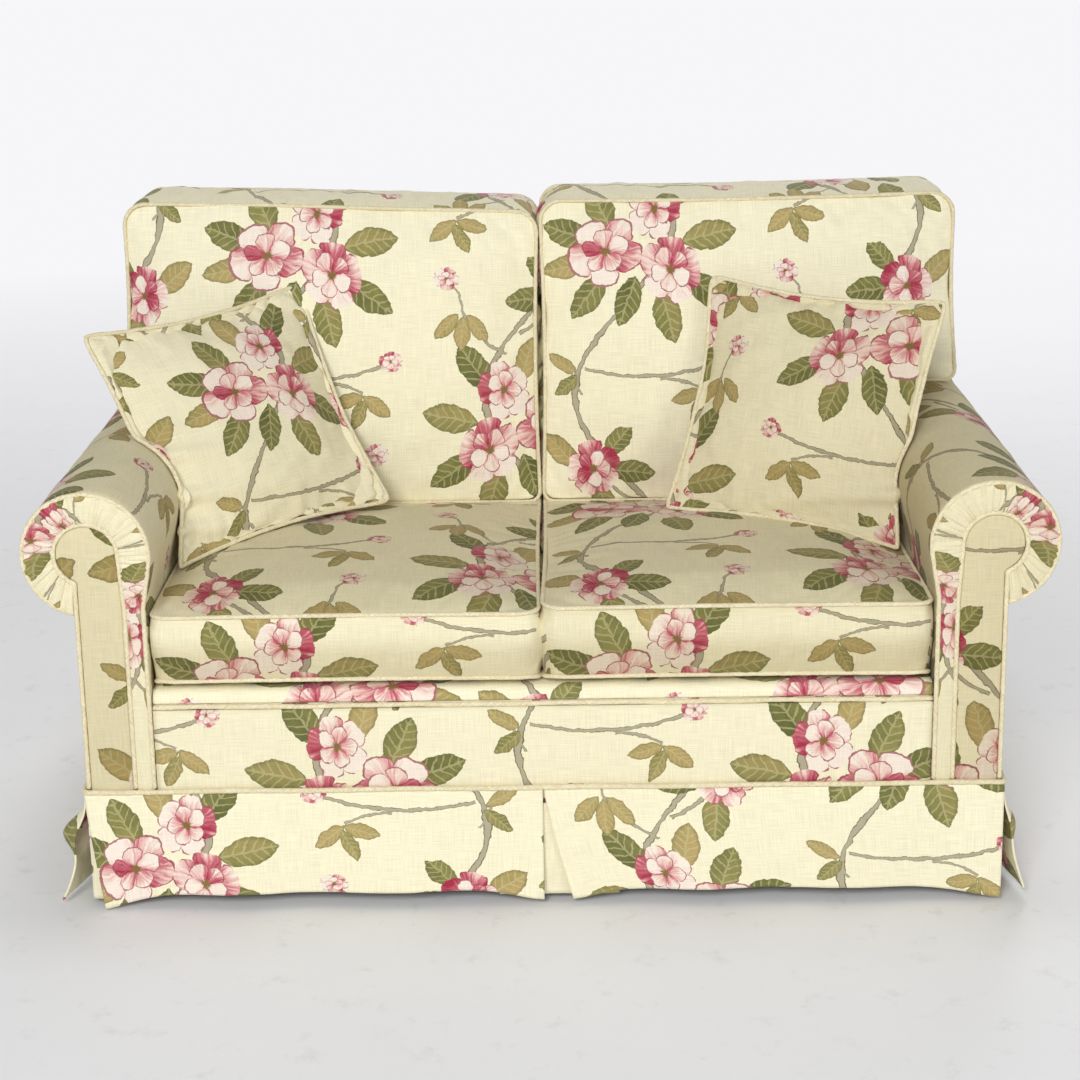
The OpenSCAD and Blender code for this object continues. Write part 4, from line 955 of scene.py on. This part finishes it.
for side, word in ((-1, "left"), (1, "right")):
    s = armShape
    profile = armPath(s["inset"], sofa["bottomZ"], sofa["armOut"], s["across"])
    stations = np.linspace(sofa["boardY"] + 0.008, sofa["armEndY"], s["along"])
    stations = np.concatenate([[sofa["boardY"], sofa["boardY"] + 0.003], stations])
    inset = np.concatenate([[0.004, 0.0012], np.zeros(s["along"])])  # the front edge is eased
    run = lengthAlong(profile, closed=True)
    coords = np.stack(np.broadcast_arrays(stations[:, None] * side + 0.9, run[None, :] + 0.06), -1)
    form = sweptForm(profile, stations, alongY, inset, coords, s["middle"])
    sheets = [(p * [side, 1, 1], q, c) for p, q, c in form]
    arm = meshPiece(f"arm_{word}", sheets, *onFrame)
    p = vertexArray(arm)
    edge = np.clip((p[:, 1] - sofa["boardY"]) / 0.03, 0,
                   1) * np.clip((sofa["armEndY"] - p[:, 1]) / 0.02, 0, 1)
    pushed(arm, edge * (softNoise(p, 0.16, 31 + side) * s["soft"] - s["inset"]))
    # painted shade with wear: the right arm, whose inner side lies in shade, is the greyer, but less so on
    # its top; the left one is greyer on its top
    least, more = (0.28, 0.2) if side < 0 else (0.98, -0.3)
    soilAndShade(arm, least + more * np.clip((p[:, 2] - 0.60) / 0.06, 0, 1))
    refine(arm)
    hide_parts(f"arm_pad_{word}", f"arm_cover_{word}")

    # outside arm panel, from the scroll's fold down to the rails
    low, high = sofa["panelLow"], armLowZ
    quad = np.array([(sofa["boardY"], low), (outsideY(low) - 0.003, low), (outsideY(high) - 0.003, high),
                     (sofa["boardY"], high)])
    outside = flatPanel(f"outsideArm_{word}", quad, 500,
                        lambda p, d: np.stack([side * (sofa["armOut"] - s["panel"] + d), p[:, 0], p[:, 1]],
                                              -1),
                        s["panel"], 0.016, puffed(quad, 0.0015, 0.03), rows=2, shift=(0.2, 0.3))
    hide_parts(f"outside_arm_{word}")

# Facing panel, gathered band and piping at the front of each arm

frontShape = {"facingThick": 0.0035, "facingPuff": 0.0035, "lowZ": 0.165, "gathers": 27, "gatherH": 0.0052,
              "puff": 0.0022, "bandY": -0.4435, "bandWidth": 0.042, "stripZ": 0.455, "pipingR": 0.0036,
              "pipingLowZ": 0.198,
              "arcEnds": (184, -65, -75.5), "arcPoints": 408, "slantPoints": 70, "stripPoints": 60}


def keyholePath(grow, lowZ, count=160):  # as the arm's path, round the disc of the facing, grown outwards
    r = sofa["discR"] + grow
    foot = (sofa["facingX"] - grow, sofa["taperZ"])
    stemX = sofa["armOut"] - sofa["pipingR"] + grow
    a1 = -math.acos(min(1, (stemX - sofa["scrollX"]) / r))
    path = np.vstack([[(foot[0], lowZ), foot], scrollArc(r, touchAngle(foot, r), a1, 160), [(stemX, lowZ)]])
    return resample(path, count)[0]


def bandRows(r, foot, start, end):
    # matching points for the band: round the arc from start to end, on to the foot, then down the strip
    s = frontShape
    arc = scrollArc(r, start, end, s["arcPoints"])
    touch = touchAngle(foot, r)
    slant = np.vstack([scrollArc(r, end, touch, 12) if touch > end else arc[-1:], [foot]])
    slant = resample(slant, s["slantPoints"] + 1)[0][1:]
    z = np.linspace(foot[1], s["lowZ"], s["stripPoints"] + 1)[1:]
    return np.vstack([arc, slant, np.stack([np.full(len(z), foot[0]), z], -1)])


for side, word in ((-1, "left"), (1, "right")):
    s = frontShape
    outline = keyholePath(-0.0035, s["lowZ"])[::-1]
    shell = boxedShell(outline, lambda p, d: np.stack([side * p[:, 0], sofa["boardY"] - d, p[:, 1]], -1),
                       s["facingThick"], 0.006, (noRise, puffed(outline, s["facingPuff"], 0.010)), rows=2,
                       shift=(0.05, 0.02) if side < 0 else (-0.5, 0.13))
    front = meshPiece(f"facing_{word}", shell, *onFrame)
    # painted shade with wear: the facings are grey, the right one greyer
    soilAndShade(front, 0.56 if side < 0 else 0.62)
    refine(front)
    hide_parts(f"arm_facing_{word}")

    # the band: gathers stand up by the size of a sine to a power and fade out down the strip
    end, innerStart, outerStart = np.radians(s["arcEnds"])
    inner = bandRows(sofa["discR"] + 0.002, (sofa["facingX"] - 0.002, sofa["taperZ"]), innerStart, end)
    outer = bandRows(sofa["scrollR"] - 0.004, (sofa["armIn"] + 0.004, sofa["taperZ"]), outerStart, end)
    rng = np.random.default_rng(70 + side)
    m = len(inner)
    across = np.linspace(0, 1, 15)
    middle = (inner + outer) / 2
    run = lengthAlong(middle)
    arcLength = run[s["arcPoints"] - 1]
    fade = np.where(run < arcLength, 1, np.clip((middle[:, 1] - s["stripZ"]) / 0.06, 0, 1) ** 0.8)
    # pleats rise from the inner edge and from the outer one, each set a row of arches that dies away across
    rise = s["puff"] * np.sin(math.pi * across)[None, :] * np.ones((m, 1))
    for k, reach in enumerate((0.95 - across, across + 0.05)):
        drift = np.interp(np.arange(m), np.linspace(0, m, 40), np.cumsum(rng.uniform(-0.5, 0.5, 40)))
        height = np.interp(np.arange(m), np.linspace(0, m, 90), rng.uniform(0.35, 1.0, 90))
        turn = run / arcLength * s["gathers"] + drift
        lean = 0.22 * np.sin(run * 47 + 2 * k)[:, None] * (across[None, :] - 0.5)
        ridge = np.abs(np.cos(math.pi * (turn[:, None] + lean))) ** 0.8
        rise = rise + s["gatherH"] * (fade * height)[:, None] * ridge * np.clip(reach, 0, 1)[None, :] ** 0.8
    flat = inner[:, None] + (outer - inner)[:, None] * across[None, :, None]
    top = np.stack([side * flat[..., 0], s["bandY"] - rise, flat[..., 1]], -1)
    under = np.stack([side * flat[..., 0], np.full(flat.shape[:2], sofa["boardY"] + 0.0005), flat[..., 1]],
                     -1)
    cloth = np.cumsum(np.concatenate([[0], np.diff(run) * (1 + 1.3 * fade[1:])]))
    coords = np.stack(np.broadcast_arrays(across[None, :] * s["bandWidth"] + 0.2, cloth[:, None]), -1)
    sheets = [gridSheet(top, coords), gridSheet(under, coords)]
    for long in (True, False):  # the rims close the gap between the two faces
        for k in (0, -1):
            a, b, c = (grid[:, k] if long else grid[k] for grid in (top, under, coords))
            sheets.append(gridSheet(np.stack([a, b], 1), np.stack([c, c], 1)))
    band = meshPiece(f"gatheredBand_{word}", sheets, *onFrame)
    # painted shade with wear: the right band is greyer
    soilAndShade(band, 0.24 if side < 0 else 0.34)
    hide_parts(f"arm_ruche_{word}")

    # piping: one run round the keyhole, one round the arm's front edge
    low = s["pipingLowZ"]
    keyhole, edge = keyholePath(0, low, 260), armPath(0.0036, low, sofa["armOut"] - 0.004, 330)
    half = len(edge) // 2
    # it ends where the scroll meets the side
    edge = edge[:half + np.nonzero(edge[half:, 1] < armLowZ + 0.003)[0][0]]
    for name, path in (("inner", keyhole), ("outer", edge)):
        line = np.stack([side * path[:, 0], np.full(len(path), sofa["boardY"] - 0.0042), path[:, 1]], -1)
        pipe = meshPiece(f"armPiping_{name}_{word}", tube(line, s["pipingR"], (0, 1, 0), seed=9 + side),
                         *pipingOnFrame)
        if name == "inner":
            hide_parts(f"arm_piping_{word}")

# Border, lip and deck under the seat cushions

borderShape = {"low": 0.165, "high": 0.322, "thick": 0.0085, "puff": 0.0018, "pipingZ": 0.3265,
               "pipingR": 0.0038}
lipShape = {"rear": sofa["railY"] + 0.039, "nose": sofa["railY"] - 0.0038, "noseR": 0.014, "top": 0.3524,
            "under": 0.3312, "low": 0.3045, "middleZ": 0.3420}
deckShape = {"rear": 0.2593, "thick": 0.0478}
edge = sofa["coverX"]

s = borderShape
rect = rectangle(-edge, s["low"], edge, s["high"])
border = flatPanel("frontBorder", rect, 700, lambda p, d: np.stack([p[:, 0], sofa["railY"] - d, p[:, 1]], -1),
                   s["thick"], 0.012, puffed(rect, s["puff"], 0.02), rows=2, shift=(0.1, 0.41))
soilAndShade(border, 0.12)
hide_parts("front_border")

x = np.linspace(-edge, edge, 240)
z = s["pipingZ"] + 0.0006 * np.sin(x * 21) + 0.0004 * np.sin(x * 57)
line = np.stack([x, np.full(len(x), sofa["railY"] - 0.004), z], -1)
pipe = meshPiece("borderPiping", tube(line, s["pipingR"], (0, 1, 0), seed=4), *pipingOnFrame)
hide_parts("border_piping")

s = lipShape
a, front = np.radians(np.linspace(180, 90, 16)), sofa["railY"] + 0.0005
nose = np.array([s["nose"] + s["noseR"], s["top"] - s["noseR"]])
nose = nose + s["noseR"] * np.stack([np.cos(a), np.sin(a)], -1)
profile = np.vstack([[(front, s["under"]), (s["nose"] + 0.002, s["under"]), (s["nose"], s["under"] + 0.0023)],
                     nose,
                     [(s["rear"], s["top"]), (s["rear"], s["low"]), (front, s["low"])]])
profile = resample(profile, 90, closed=True)[0]
x = np.linspace(-edge, edge, 160)
coords = np.stack(np.broadcast_arrays(x[:, None] + 0.1, lengthAlong(profile, closed=True)[None, :] + 0.57),
                  -1)
middle = (s["nose"] + 0.021, s["middleZ"])
lip = meshPiece("platformLip", sweptForm(profile, x, alongX, np.zeros(len(x)), coords, middle), *onFrame)
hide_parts("platform_lip")

rect = rectangle(-edge, lipShape["rear"], edge, deckShape["rear"])
deck = flatPanel("deck", rect, 800, lambda p, d: np.stack([p[:, 0], p[:, 1], lipShape["low"] + d], -1),
                 deckShape["thick"], 0.02, noRise, cover=("sofa_frame", "wadding", calico), rows=4)
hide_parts("seat_platform")

# Back: covering with its stuffing, and the outside back panel

backForm = {"halfWidth": 0.7, "stations": 160, "inset": 0.0006, "middle": (0.400, 0.620), "soft": 0.001,
            "panel": 0.003}
s, low, edge = backForm, sofa["bottomZ"], backForm["halfWidth"]
a = np.linspace(math.pi - sofa["rakeAngle"], 0, 60)
roll = np.array([rollY, rollZ]) + sofa["rollR"] * np.stack([np.cos(a), np.sin(a)], -1)
profile = resample(np.vstack([[(insideY(low), low)], roll, [(outsideY(low), low)]]), 140, closed=True)[0]
x = np.concatenate([[-edge, -edge + 0.003], np.linspace(-edge + 0.008, edge - 0.008, s["stations"]),
                    [edge - 0.003, edge]])
inset = np.concatenate([[0.004, 0.001], np.zeros(s["stations"]), [0.001, 0.004]]) + s["inset"]
coords = np.stack(np.broadcast_arrays(x[:, None], lengthAlong(profile, closed=True)[None, :]), -1)
back = meshPiece("back", sweptForm(profile, x, alongX, inset, coords, s["middle"]), *onFrame)
p = vertexArray(back)
pushed(back, np.clip((edge - np.abs(p[:, 0])) / 0.03, 0, 1) * (softNoise(p, 0.2, 41) * s["soft"] - 0.0010))
refine(back)
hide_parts("back_pad", "inside_back")

rect = rectangle(-edge, sofa["panelLow"], edge, rollZ)
rear = flatPanel("outsideBack", rect, 900,
                 lambda p, d: np.stack([p[:, 0], outsideY(p[:, 1]) - s["panel"] + d, p[:, 1]], -1),
                 s["panel"],
                 0.014, puffed(rect, 0.0016, 0.03), rows=2, shift=(0.05, 0.2))
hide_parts("outside_back")
print("sofa: frame covers made")

# Skirt: lined panels that hang from the piping in soft folds, with backings behind the kick pleats

skirtShape = {"endX": 0.7035, "gap": 0.00175, "lining": 0.0018, "flare": 0.0105, "sideFlare": 0.030,
              "open": 0.043, "thick": 0.003, "dent": (0.034, 0.016), "flap": (0.017, 0.010),
              "drag": {"left": 0.024, "right": 0.003}, "dip": {"left": 0.008, "right": 0.005}, "lift": 0.011,
              "folds": 3, "curl": 0.006, "ripple": 0.0016}
skirtBackY = outsideY(sofa["skirtTop"])


def hang(drop):  # how much of the flare is reached at each height
    return drop ** 1.3


def skirtZ(drop):
    return sofa["skirtTop"] + (sofa["hemZ"] - sofa["skirtTop"]) * drop


def lined(panel, thick):
    solid = panel.modifiers.new("lining", "SOLIDIFY")
    solid.thickness, solid.offset = thick, 0


def skirtPanel(name, place, count, seed, coordShift, flat, node):
    # grid over the width (t) and the drop, both from 0 to 1; fine ripples grow towards the hem
    t, drop = np.meshgrid(np.linspace(0, 1, count), np.linspace(0, 1, 36), indexing="ij")
    points = place(t, drop)
    ripple = softNoise(points * [1, 1, 0.35], 0.12, seed) * skirtShape["ripple"] * hang(drop)
    coords = np.stack([t * flat[0], -drop * flat[1]], -1) + coordShift
    panel = meshPiece(name, [gridSheet(points, coords)], *onFrame, closed=False)
    pushed(panel, ripple.ravel())
    lined(panel, skirtShape["thick"])
    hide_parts(node)


# the hem lifts between its ends, and the outer corner is dragged inwards and down
def frontPanel(x0, x1, word):
    def place(t, drop):
        s, openSide = skirtShape, word == "right"
        lo = x0 + (s["open"] * hang(drop) if openSide else 0 * drop)
        x = lo + (x1 - lo) * t
        fold = 0.58 + 0.42 * np.cos(2 * math.pi * s["folds"] * t + (0.4 if openSide else 0))
        edge = np.exp(-t * (x1 - x0) / 0.035) + np.exp(-(1 - t) * (x1 - x0) / 0.05)
        y = sofa["faceY"] - s["gap"] - (s["flare"] * fold * 0.9 + s["curl"] * edge * 0.6) * hang(drop)
        outer = (1 - t if openSide else t) * (x1 - x0)
        near, inner = np.exp(-(outer / 0.055) ** 1.5), np.exp(-((x1 - x0 - outer) / 0.06) ** 2)
        z = skirtZ(drop) + (s["lift"] * (1 - np.exp(-(outer / 0.10) ** 2) - inner)
                            - s["dip"][word] * near) * drop ** 3
        return np.stack([x - math.copysign(s["drag"][word], x0 + x1) * near * hang(drop), y, z], -1)
    return place


# flares most at its ends; the front corner is crushed: a dent pushed out behind it, a flap below
def sidePanel(side):
    def place(t, drop):
        s = skirtShape
        wide = 0.3 + 0.7 * np.abs(2 * t - 1) ** 3 + 0.1 * np.cos(4 * math.pi * t)
        y = sofa["faceY"] + (skirtBackY - sofa["faceY"]) * (t if side > 0 else 1 - t)
        back = y - sofa["faceY"]
        dent, flap = (s[key][0 if side < 0 else 1] for key in ("dent", "flap"))
        dent = dent * np.exp(-((back - 0.026) / 0.024) ** 2 - ((drop - 0.42) / 0.17) ** 2)
        flap = flap * np.exp(-(back / 0.07) ** 2) * drop ** 3
        x = sofa["armOut"] + s["gap"] + s["sideFlare"] * hang(drop) * wide / 1.1 + dent + flap
        return np.stack([side * x, y, skirtZ(drop)], -1)
    return place


def backPanel(t, drop):  # five folds, each a cosine over the width
    fold = 0.58 + 0.42 * np.cos(10 * math.pi * t)
    y = skirtBackY + skirtShape["gap"] + skirtShape["flare"] * 0.95 * hang(drop) * fold
    return np.stack([skirtShape["endX"] * (1 - 2 * t), y, skirtZ(drop)], -1)


edge = skirtShape["endX"]
skirtPanel("skirtFront_left", frontPanel(-edge, -0.001, "left"), 170, 51, (0.05, 0.42), (0.704, 0.179),
           "skirt_front_left")
skirtPanel("skirtFront_right", frontPanel(0.001, edge, "right"), 170, 52, (0.37, 0.21), (0.690, 0.179),
           "skirt_front_right")
skirtPanel("skirtSide_left", sidePanel(-1), 180, 53, (0.2, 0.3), (0.856, 0.181), "skirt_side_left")
skirtPanel("skirtSide_right", sidePanel(1), 180, 54, (0.4, 0.1), (0.856, 0.181), "skirt_side_right")
skirtPanel("skirtBack", backPanel, 240, 55, (0.1, 0.5), (1.410, 0.179), "skirt_back")


def backingStrip(path, high, seed, shift):  # strip that stands on a path in the floor plan, from the hem up
    line, length = resample(path, max(12, int(lengthAlong(path)[-1] / 0.006)))
    z = np.linspace(sofa["hemZ"] + 0.001, high, 22)
    points = np.stack(np.broadcast_arrays(line[:, None, 0], line[:, None, 1], z[None, :]), -1).copy()
    points[..., 1] += 0.0008 * softNoise(points, 0.07, seed)
    coords = np.stack(np.broadcast_arrays(np.linspace(0, length, len(line))[:, None], z[None, :]), -1) + shift
    return gridSheet(points, coords)


# each strip goes one leg's length to both sides of its pleat; the high ones reach the rail
front, rear, leg, high = sofa["faceY"] + 0.0015, outsideY(0.150) + 0.001, 0.070, 0.150
# plain ground shows in the middle pleat
strips = [backingStrip([(-leg, front), (0.115, front)], high + 0.015, 1, (0.263, 0.342))]
for side in (-1, 1):
    x0, x1 = side * (sofa["armOut"] - leg), side * (sofa["armOut"] + 0.001)
    strips.append(backingStrip([(x0, front), (x1, front), (x1, front + leg)], high, 2 + side,
                               0.13 * (2 + side)))
    strips.append(backingStrip([(x1, rear - leg), (x1, rear), (x0, rear)], high, 5 + side, 0.13 * (5 + side)))
backings = meshPiece("pleatBackings", strips, *onFrame, closed=False)
lined(backings, skirtShape["lining"])
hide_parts("pleat_inserts")

z, x, r = sofa["skirtTop"] + 0.004, sofa["armOut"] + 0.004, 0.006
front, rear = sofa["faceY"] - 0.004, outsideY(sofa["skirtTop"] + 0.008) + 0.004
ring = np.vstack([bend((x - r, front + r), r, -90, 0), bend((x - r, rear - r), r, 0, 90),
                  bend((-x + r, rear - r), r, 90, 180), bend((-x + r, front + r), r, 180, 270)])
ring = resample(ring, 900, closed=True)[0]
z = z + 0.0006 * np.sin(ring[:, 0] * 23) + 0.0004 * np.sin(ring[:, 1] * 31)
line = np.column_stack([ring, z])
pipe = meshPiece("skirtPiping", tube(line, 0.0039, (0, 0, 1), closed=True, seed=2), *pipingOnFrame)
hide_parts("skirt_piping")

lowCorner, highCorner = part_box("dust_cloth")
rect = rectangle(*lowCorner[:2], *highCorner[:2])
clothShape = {"feetX": 0.636, "feetY": (-0.375, 0.3241), "holeR": 0.031, "top": 0.0949, "thick": 0.0012}
s = clothShape
holes = [bend((sx * s["feetX"], y), s["holeR"], 0, 360)[:-1] for sx in (-1, 1) for y in s["feetY"]]
lining = flatPanel("dustCloth", rect, 700,
                   lambda p, d: np.stack([p[:, 0], p[:, 1], clothShape["top"] - d], -1), s["thick"],
                   0.012, noRise, cover=("sofa_frame", "black_lining", blackLining), rows=1, holes=holes)
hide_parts("dust_cloth")
print("sofa: skirt and dust cloth made")

# Swell the loose cushions, then lay each where it rests
pinAndInflate(jobs)
for piece, limits, wrinkle, seed in after:
    isSeat, p = "seat" in piece.name, vertexArray(piece)
    upright = p * ([1, 0.45, 0.28] if isSeat else [1, 1, 0.7])
    pushed(piece, wrinkle * (softNoise(p, 0.17, seed, 3) + 0.7 * softNoise(upright, 0.055, seed + 5, 2)))
    if isSeat:  # short upright pulls that fade away below the top piping
        drop = np.clip(sofa["seatSeamZ"] - p[:, 2], 0, 1)
        pulls = softNoise(p * [1, 1, 0.12], 0.034, seed + 9, 2)
        pushed(piece, 0.0022 * pulls * np.exp(-drop / 0.028) * (1 - np.exp(-drop / 0.006)))
    setVertices(piece, limits(vertexArray(piece)))
    if isSeat:  # painted shade and wear: greyest on its top, greyer on the right seat, and greyer again towards the foot of its boxing, which turns down from the light
        p = vertexArray(piece)
        base = (0.22 if "left" in piece.name else 0.32) + 0.34 * np.clip((0.440 - p[:, 2]) / 0.030, 0, 1)
        soilAndShade(piece, base + (0.52 - base) * np.clip((p[:, 2] - sofa["seatSeamZ"] + 0.006) / 0.012, 0, 1))
    refine(piece)
for piece, word, side in scatterMoves:
    p = vertexArray(piece)
    creases = 0.0034 * softNoise(p, 0.15, 61 + side, 3) + 0.0016 * softNoise(p, 0.05, 65 + side, 2)
    pushed(piece, 0.5 * puckers(p, side) + np.clip(np.abs(p[:, 1]) / 0.02, 0, 1) * creases)
    setVertices(piece, leant(vertexArray(piece), side, word))
    # where it is pressed flat the folds are lost, so they go in once more
    pushed(piece, np.minimum(puckers(p, side), 0))
    # painted shade with wear: the right cushion is greyer
    soilAndShade(piece, 0.24 if side < 0 else 0.42)
    refine(piece)
print("sofa: cushions swelled and laid")

# Finishes of the timber, springs, webbing and glides that are kept from the frame


# planed beech: pale pinkish brown, fine straight grain along the length, short dark flecks
def beechMaterial(name, along):
    material, add, body = startMaterial(name, {"Roughness": 0.55, "Specular IOR Level": 0.4})
    place = add("TexCoord").outputs["Object"]

    def streaks(across, lengthwise, **settings):
        scale = [across, across, across]
        scale[along] = lengthwise
        return add("TexNoise", {"Vector": add("Mapping", {"Vector": place, "Scale": scale}), "Scale": 1.0,
                                **settings})

    grain = streaks(70.0, 2.5, Detail=5.0, Roughness=0.6)
    fleck = streaks(330.0, 55.0, Detail=1.0)
    tone = add("Mix RGBA", [grain, linear("#D3AA7B"), linear("#A97B4E")])
    colour = add("Mix RGBA", [add("MapRange", [fleck, 0.62, 0.72, 0.0, 0.5]), tone, linear("#7E5734")])
    bump = add("Bump", {"Strength": 0.25, "Distance": 0.0004, "Height": grain})
    wire(body, {"Base Color": colour, "Normal": bump})
    return material


beech = {axis: beechMaterial(f"planedBeech_{axis}", k) for k, axis in enumerate("xyz")}


# drawn wire under a thin oil film: long faint draw lines, browner where the oil has dried
def springSteelMaterial():
    material, add, body = startMaterial("oiledSpringSteel", {"Metallic": 1.0})
    place = add("TexCoord").outputs["Object"]
    oil = add("TexNoise", {"Vector": place, "Scale": 26.0, "Detail": 4.0})
    lines = add("TexNoise", {"Vector": add("Mapping", {"Vector": place, "Scale": (900, 60, 900)}),
                             "Scale": 1.0,
                             "Detail": 2.0})
    colour = add("Mix RGBA", [add("MapRange", [oil, 0.42, 0.66]), linear("#7A7D81"), linear("#5E5346")])
    wire(body, {"Base Color": colour, "Roughness": add("MapRange", [oil, 0.0, 1.0, 0.28, 0.55]),
                "Normal": add("Bump", {"Strength": 0.2, "Distance": 0.0001, "Height": lines})})
    return material


def nylonMaterial():  # black moulded nylon: fine spark texture, scuffed grey underneath where it slides
    material, add, body = startMaterial("mouldedNylon", {"Specular IOR Level": 0.45})
    place = add("TexCoord").outputs["Object"]
    spark = add("TexNoise", {"Vector": place, "Scale": 1200.0, "Detail": 1.0})
    scuff = add("TexNoise", {"Vector": add("Mapping", {"Vector": place, "Scale": (40, 300, 300)}),
                             "Scale": 1.0,
                             "Detail": 3.0})
    share = add("MapRange", [scuff, 0.52, 0.70, 0.0, 0.6])
    wire(body, {"Base Color": add("Mix RGBA", [share, linear("#17171A"), linear("#3C3B3A")]),
                "Roughness": add("MapRange", [scuff, 0.0, 1.0, 0.38, 0.62]),
                "Normal": add("Bump", {"Strength": 0.3, "Distance": 0.0001, "Height": spark})})
    return material


springWire, nylon = springSteelMaterial(), nylonMaterial()
webbing = wovenMaterial("wovenWebbing", "#6B5B48", "#2E2823", 420, upright=True)
dressing = {
    "x": ["front_rail", "back_rail", "corner_blocks", "back_top_rail", "back_tack_rail"],
    "y": ["side_rail_left", "side_rail_right", "centre_stretcher", "arm_rails_left", "arm_rails_right"],
    "z": ["arm_board_left", "arm_board_right", "back_post_left", "back_post_right", "front_feet",
          "rear_feet"],
}
finishes = {node: beech[axis] for axis, nodes in dressing.items() for node in nodes}
finishes.update({"seat_springs": springWire, "spring_clips": springWire, "foot_glides": nylon,
                 "back_webbing": webbing})
for node, material in finishes.items():
    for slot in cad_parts[node].material_slots:
        slot.material = material

# Floor of pale concrete, lamps and the white behind

studio = {"floorColour": "#F0F0F0", "cloudColour": "#DCDDDE", "scuffColour": "#8E8984",
          "backColour": "#F6F6F9",
          "world": 0.30, "key": 184.0, "fill": 36.0, "rear": 90.0, "glow": 0.32, "halfWidth": 30,
          "shadow": (0.70, 0.43, 0.0)}  # half the floor plan of the sofa, inside which the floor doesn't glow: painted shade


def concreteMaterial():  # power floated concrete: faint clouds and scuffs, satin
    s = studio
    material, add, body = startMaterial("floatedConcrete", {"Roughness": 0.6, "Specular IOR Level": 0.3})
    place = add("TexCoord").outputs["Object"]
    cloud = add("TexNoise", {"Vector": place, "Scale": 1.3, "Detail": 6.0, "Roughness": 0.6})
    tone = add("Mix RGBA", [cloud, linear(s["cloudColour"]), linear(s["floorColour"])])
    grit = add("TexNoise", {"Vector": place, "Scale": 17.0, "Detail": 8.0, "Roughness": 0.7})
    tone = add("Mix RGBA", [add("MapRange", [grit, 0.57, 0.70, 0.0, 0.22]), tone, linear(s["scuffColour"])])
    far = add("MapRange", [add("VectorMath LENGTH", [place]), 2.5, 9.0])
    wire(body, {"Base Color": add("Mix RGBA", [far, tone, linear(s["backColour"])])})
    # to the camera the floor glows a little, more so far off, so that it goes over into the white behind;
    # under the sofa and close round it there is none: painted shade round the sofa that deepens the shadow at
    # the hem
    outside = add("VectorMath SUBTRACT", [add("VectorMath ABSOLUTE", [place]), s["shadow"]])
    outside = add("VectorMath LENGTH", [add("VectorMath MAXIMUM", [outside, (0.0, 0.0, 0.0)])])
    close = add("MapRange", [outside, 0.0, 0.26, 0.0, s["glow"]], interpolation_type="SMOOTHSTEP")
    share = add("Math ADD", [add("MapRange", [outside, 0.9, 4.5, 0.0, 1.0 - s["glow"]]), close])
    seen = add("Math MULTIPLY", [share, add("LightPath").outputs["Is Camera Ray"]])
    glow = add("Emission", {"Color": linear(s["backColour"]), "Strength": 1.0})
    wire(material.node_tree.nodes["Material Output"], [add("MixShader", [seen, body, glow])])
    return material


mesh = bpy.data.meshes.new("floor")
edge = studio["halfWidth"]
mesh.from_pydata([(-edge, -edge, 0), (edge, -edge, 0), (edge, edge, 0), (-edge, edge, 0)], [], [(0, 1, 2, 3)])
mesh.materials.append(concreteMaterial())
floor = bpy.data.objects.new("floor", mesh)
bpy.context.scene.collection.objects.link(floor)

world = bpy.data.worlds.new("studio")
world.use_nodes = True
bpy.context.scene.world = world
world.node_tree.nodes.clear()
add = partial(addNode, world.node_tree)
rays = add("LightPath").outputs
seen = add("Math MAXIMUM", [rays["Is Camera Ray"], rays["Is Glossy Ray"]])
seen = add("Math MAXIMUM", [seen, rays["Is Transmission Ray"]])
plain = add("Background", {"Color": linear("#FFFFFF"), "Strength": studio["world"]})
white = add("Background", {"Color": linear(studio["backColour"]), "Strength": 1.0})
add("OutputWorld", [add("MixShader", [seen, plain, white])])


def softLamp(name, place, aim, size, power):
    data = bpy.data.lights.new(name, "AREA")
    data.shape, data.size, data.size_y, data.energy = "RECTANGLE", size, size, power
    lamp = bpy.data.objects.new(name, data)
    lamp.location = place
    lamp.rotation_euler = (Vector(aim) - Vector(place)).to_track_quat("-Z", "Y").to_euler()
    bpy.context.scene.collection.objects.link(lamp)


softLamp("keyLamp", (-1.0, -4.8, 3.2), (0, 0, 0.4), 1.9, studio["key"])
softLamp("fillLamp", (3.0, -4.2, 1.7), (0, 0, 0.5), 2.2, studio["fill"])
softLamp("rearLamp", (1.3, 4.8, 2.9), (0, 0, 0.5), 2.2, studio["rear"])

scene = bpy.context.scene
scene.view_settings.view_transform = "Standard"
print("sofa: scene ready")
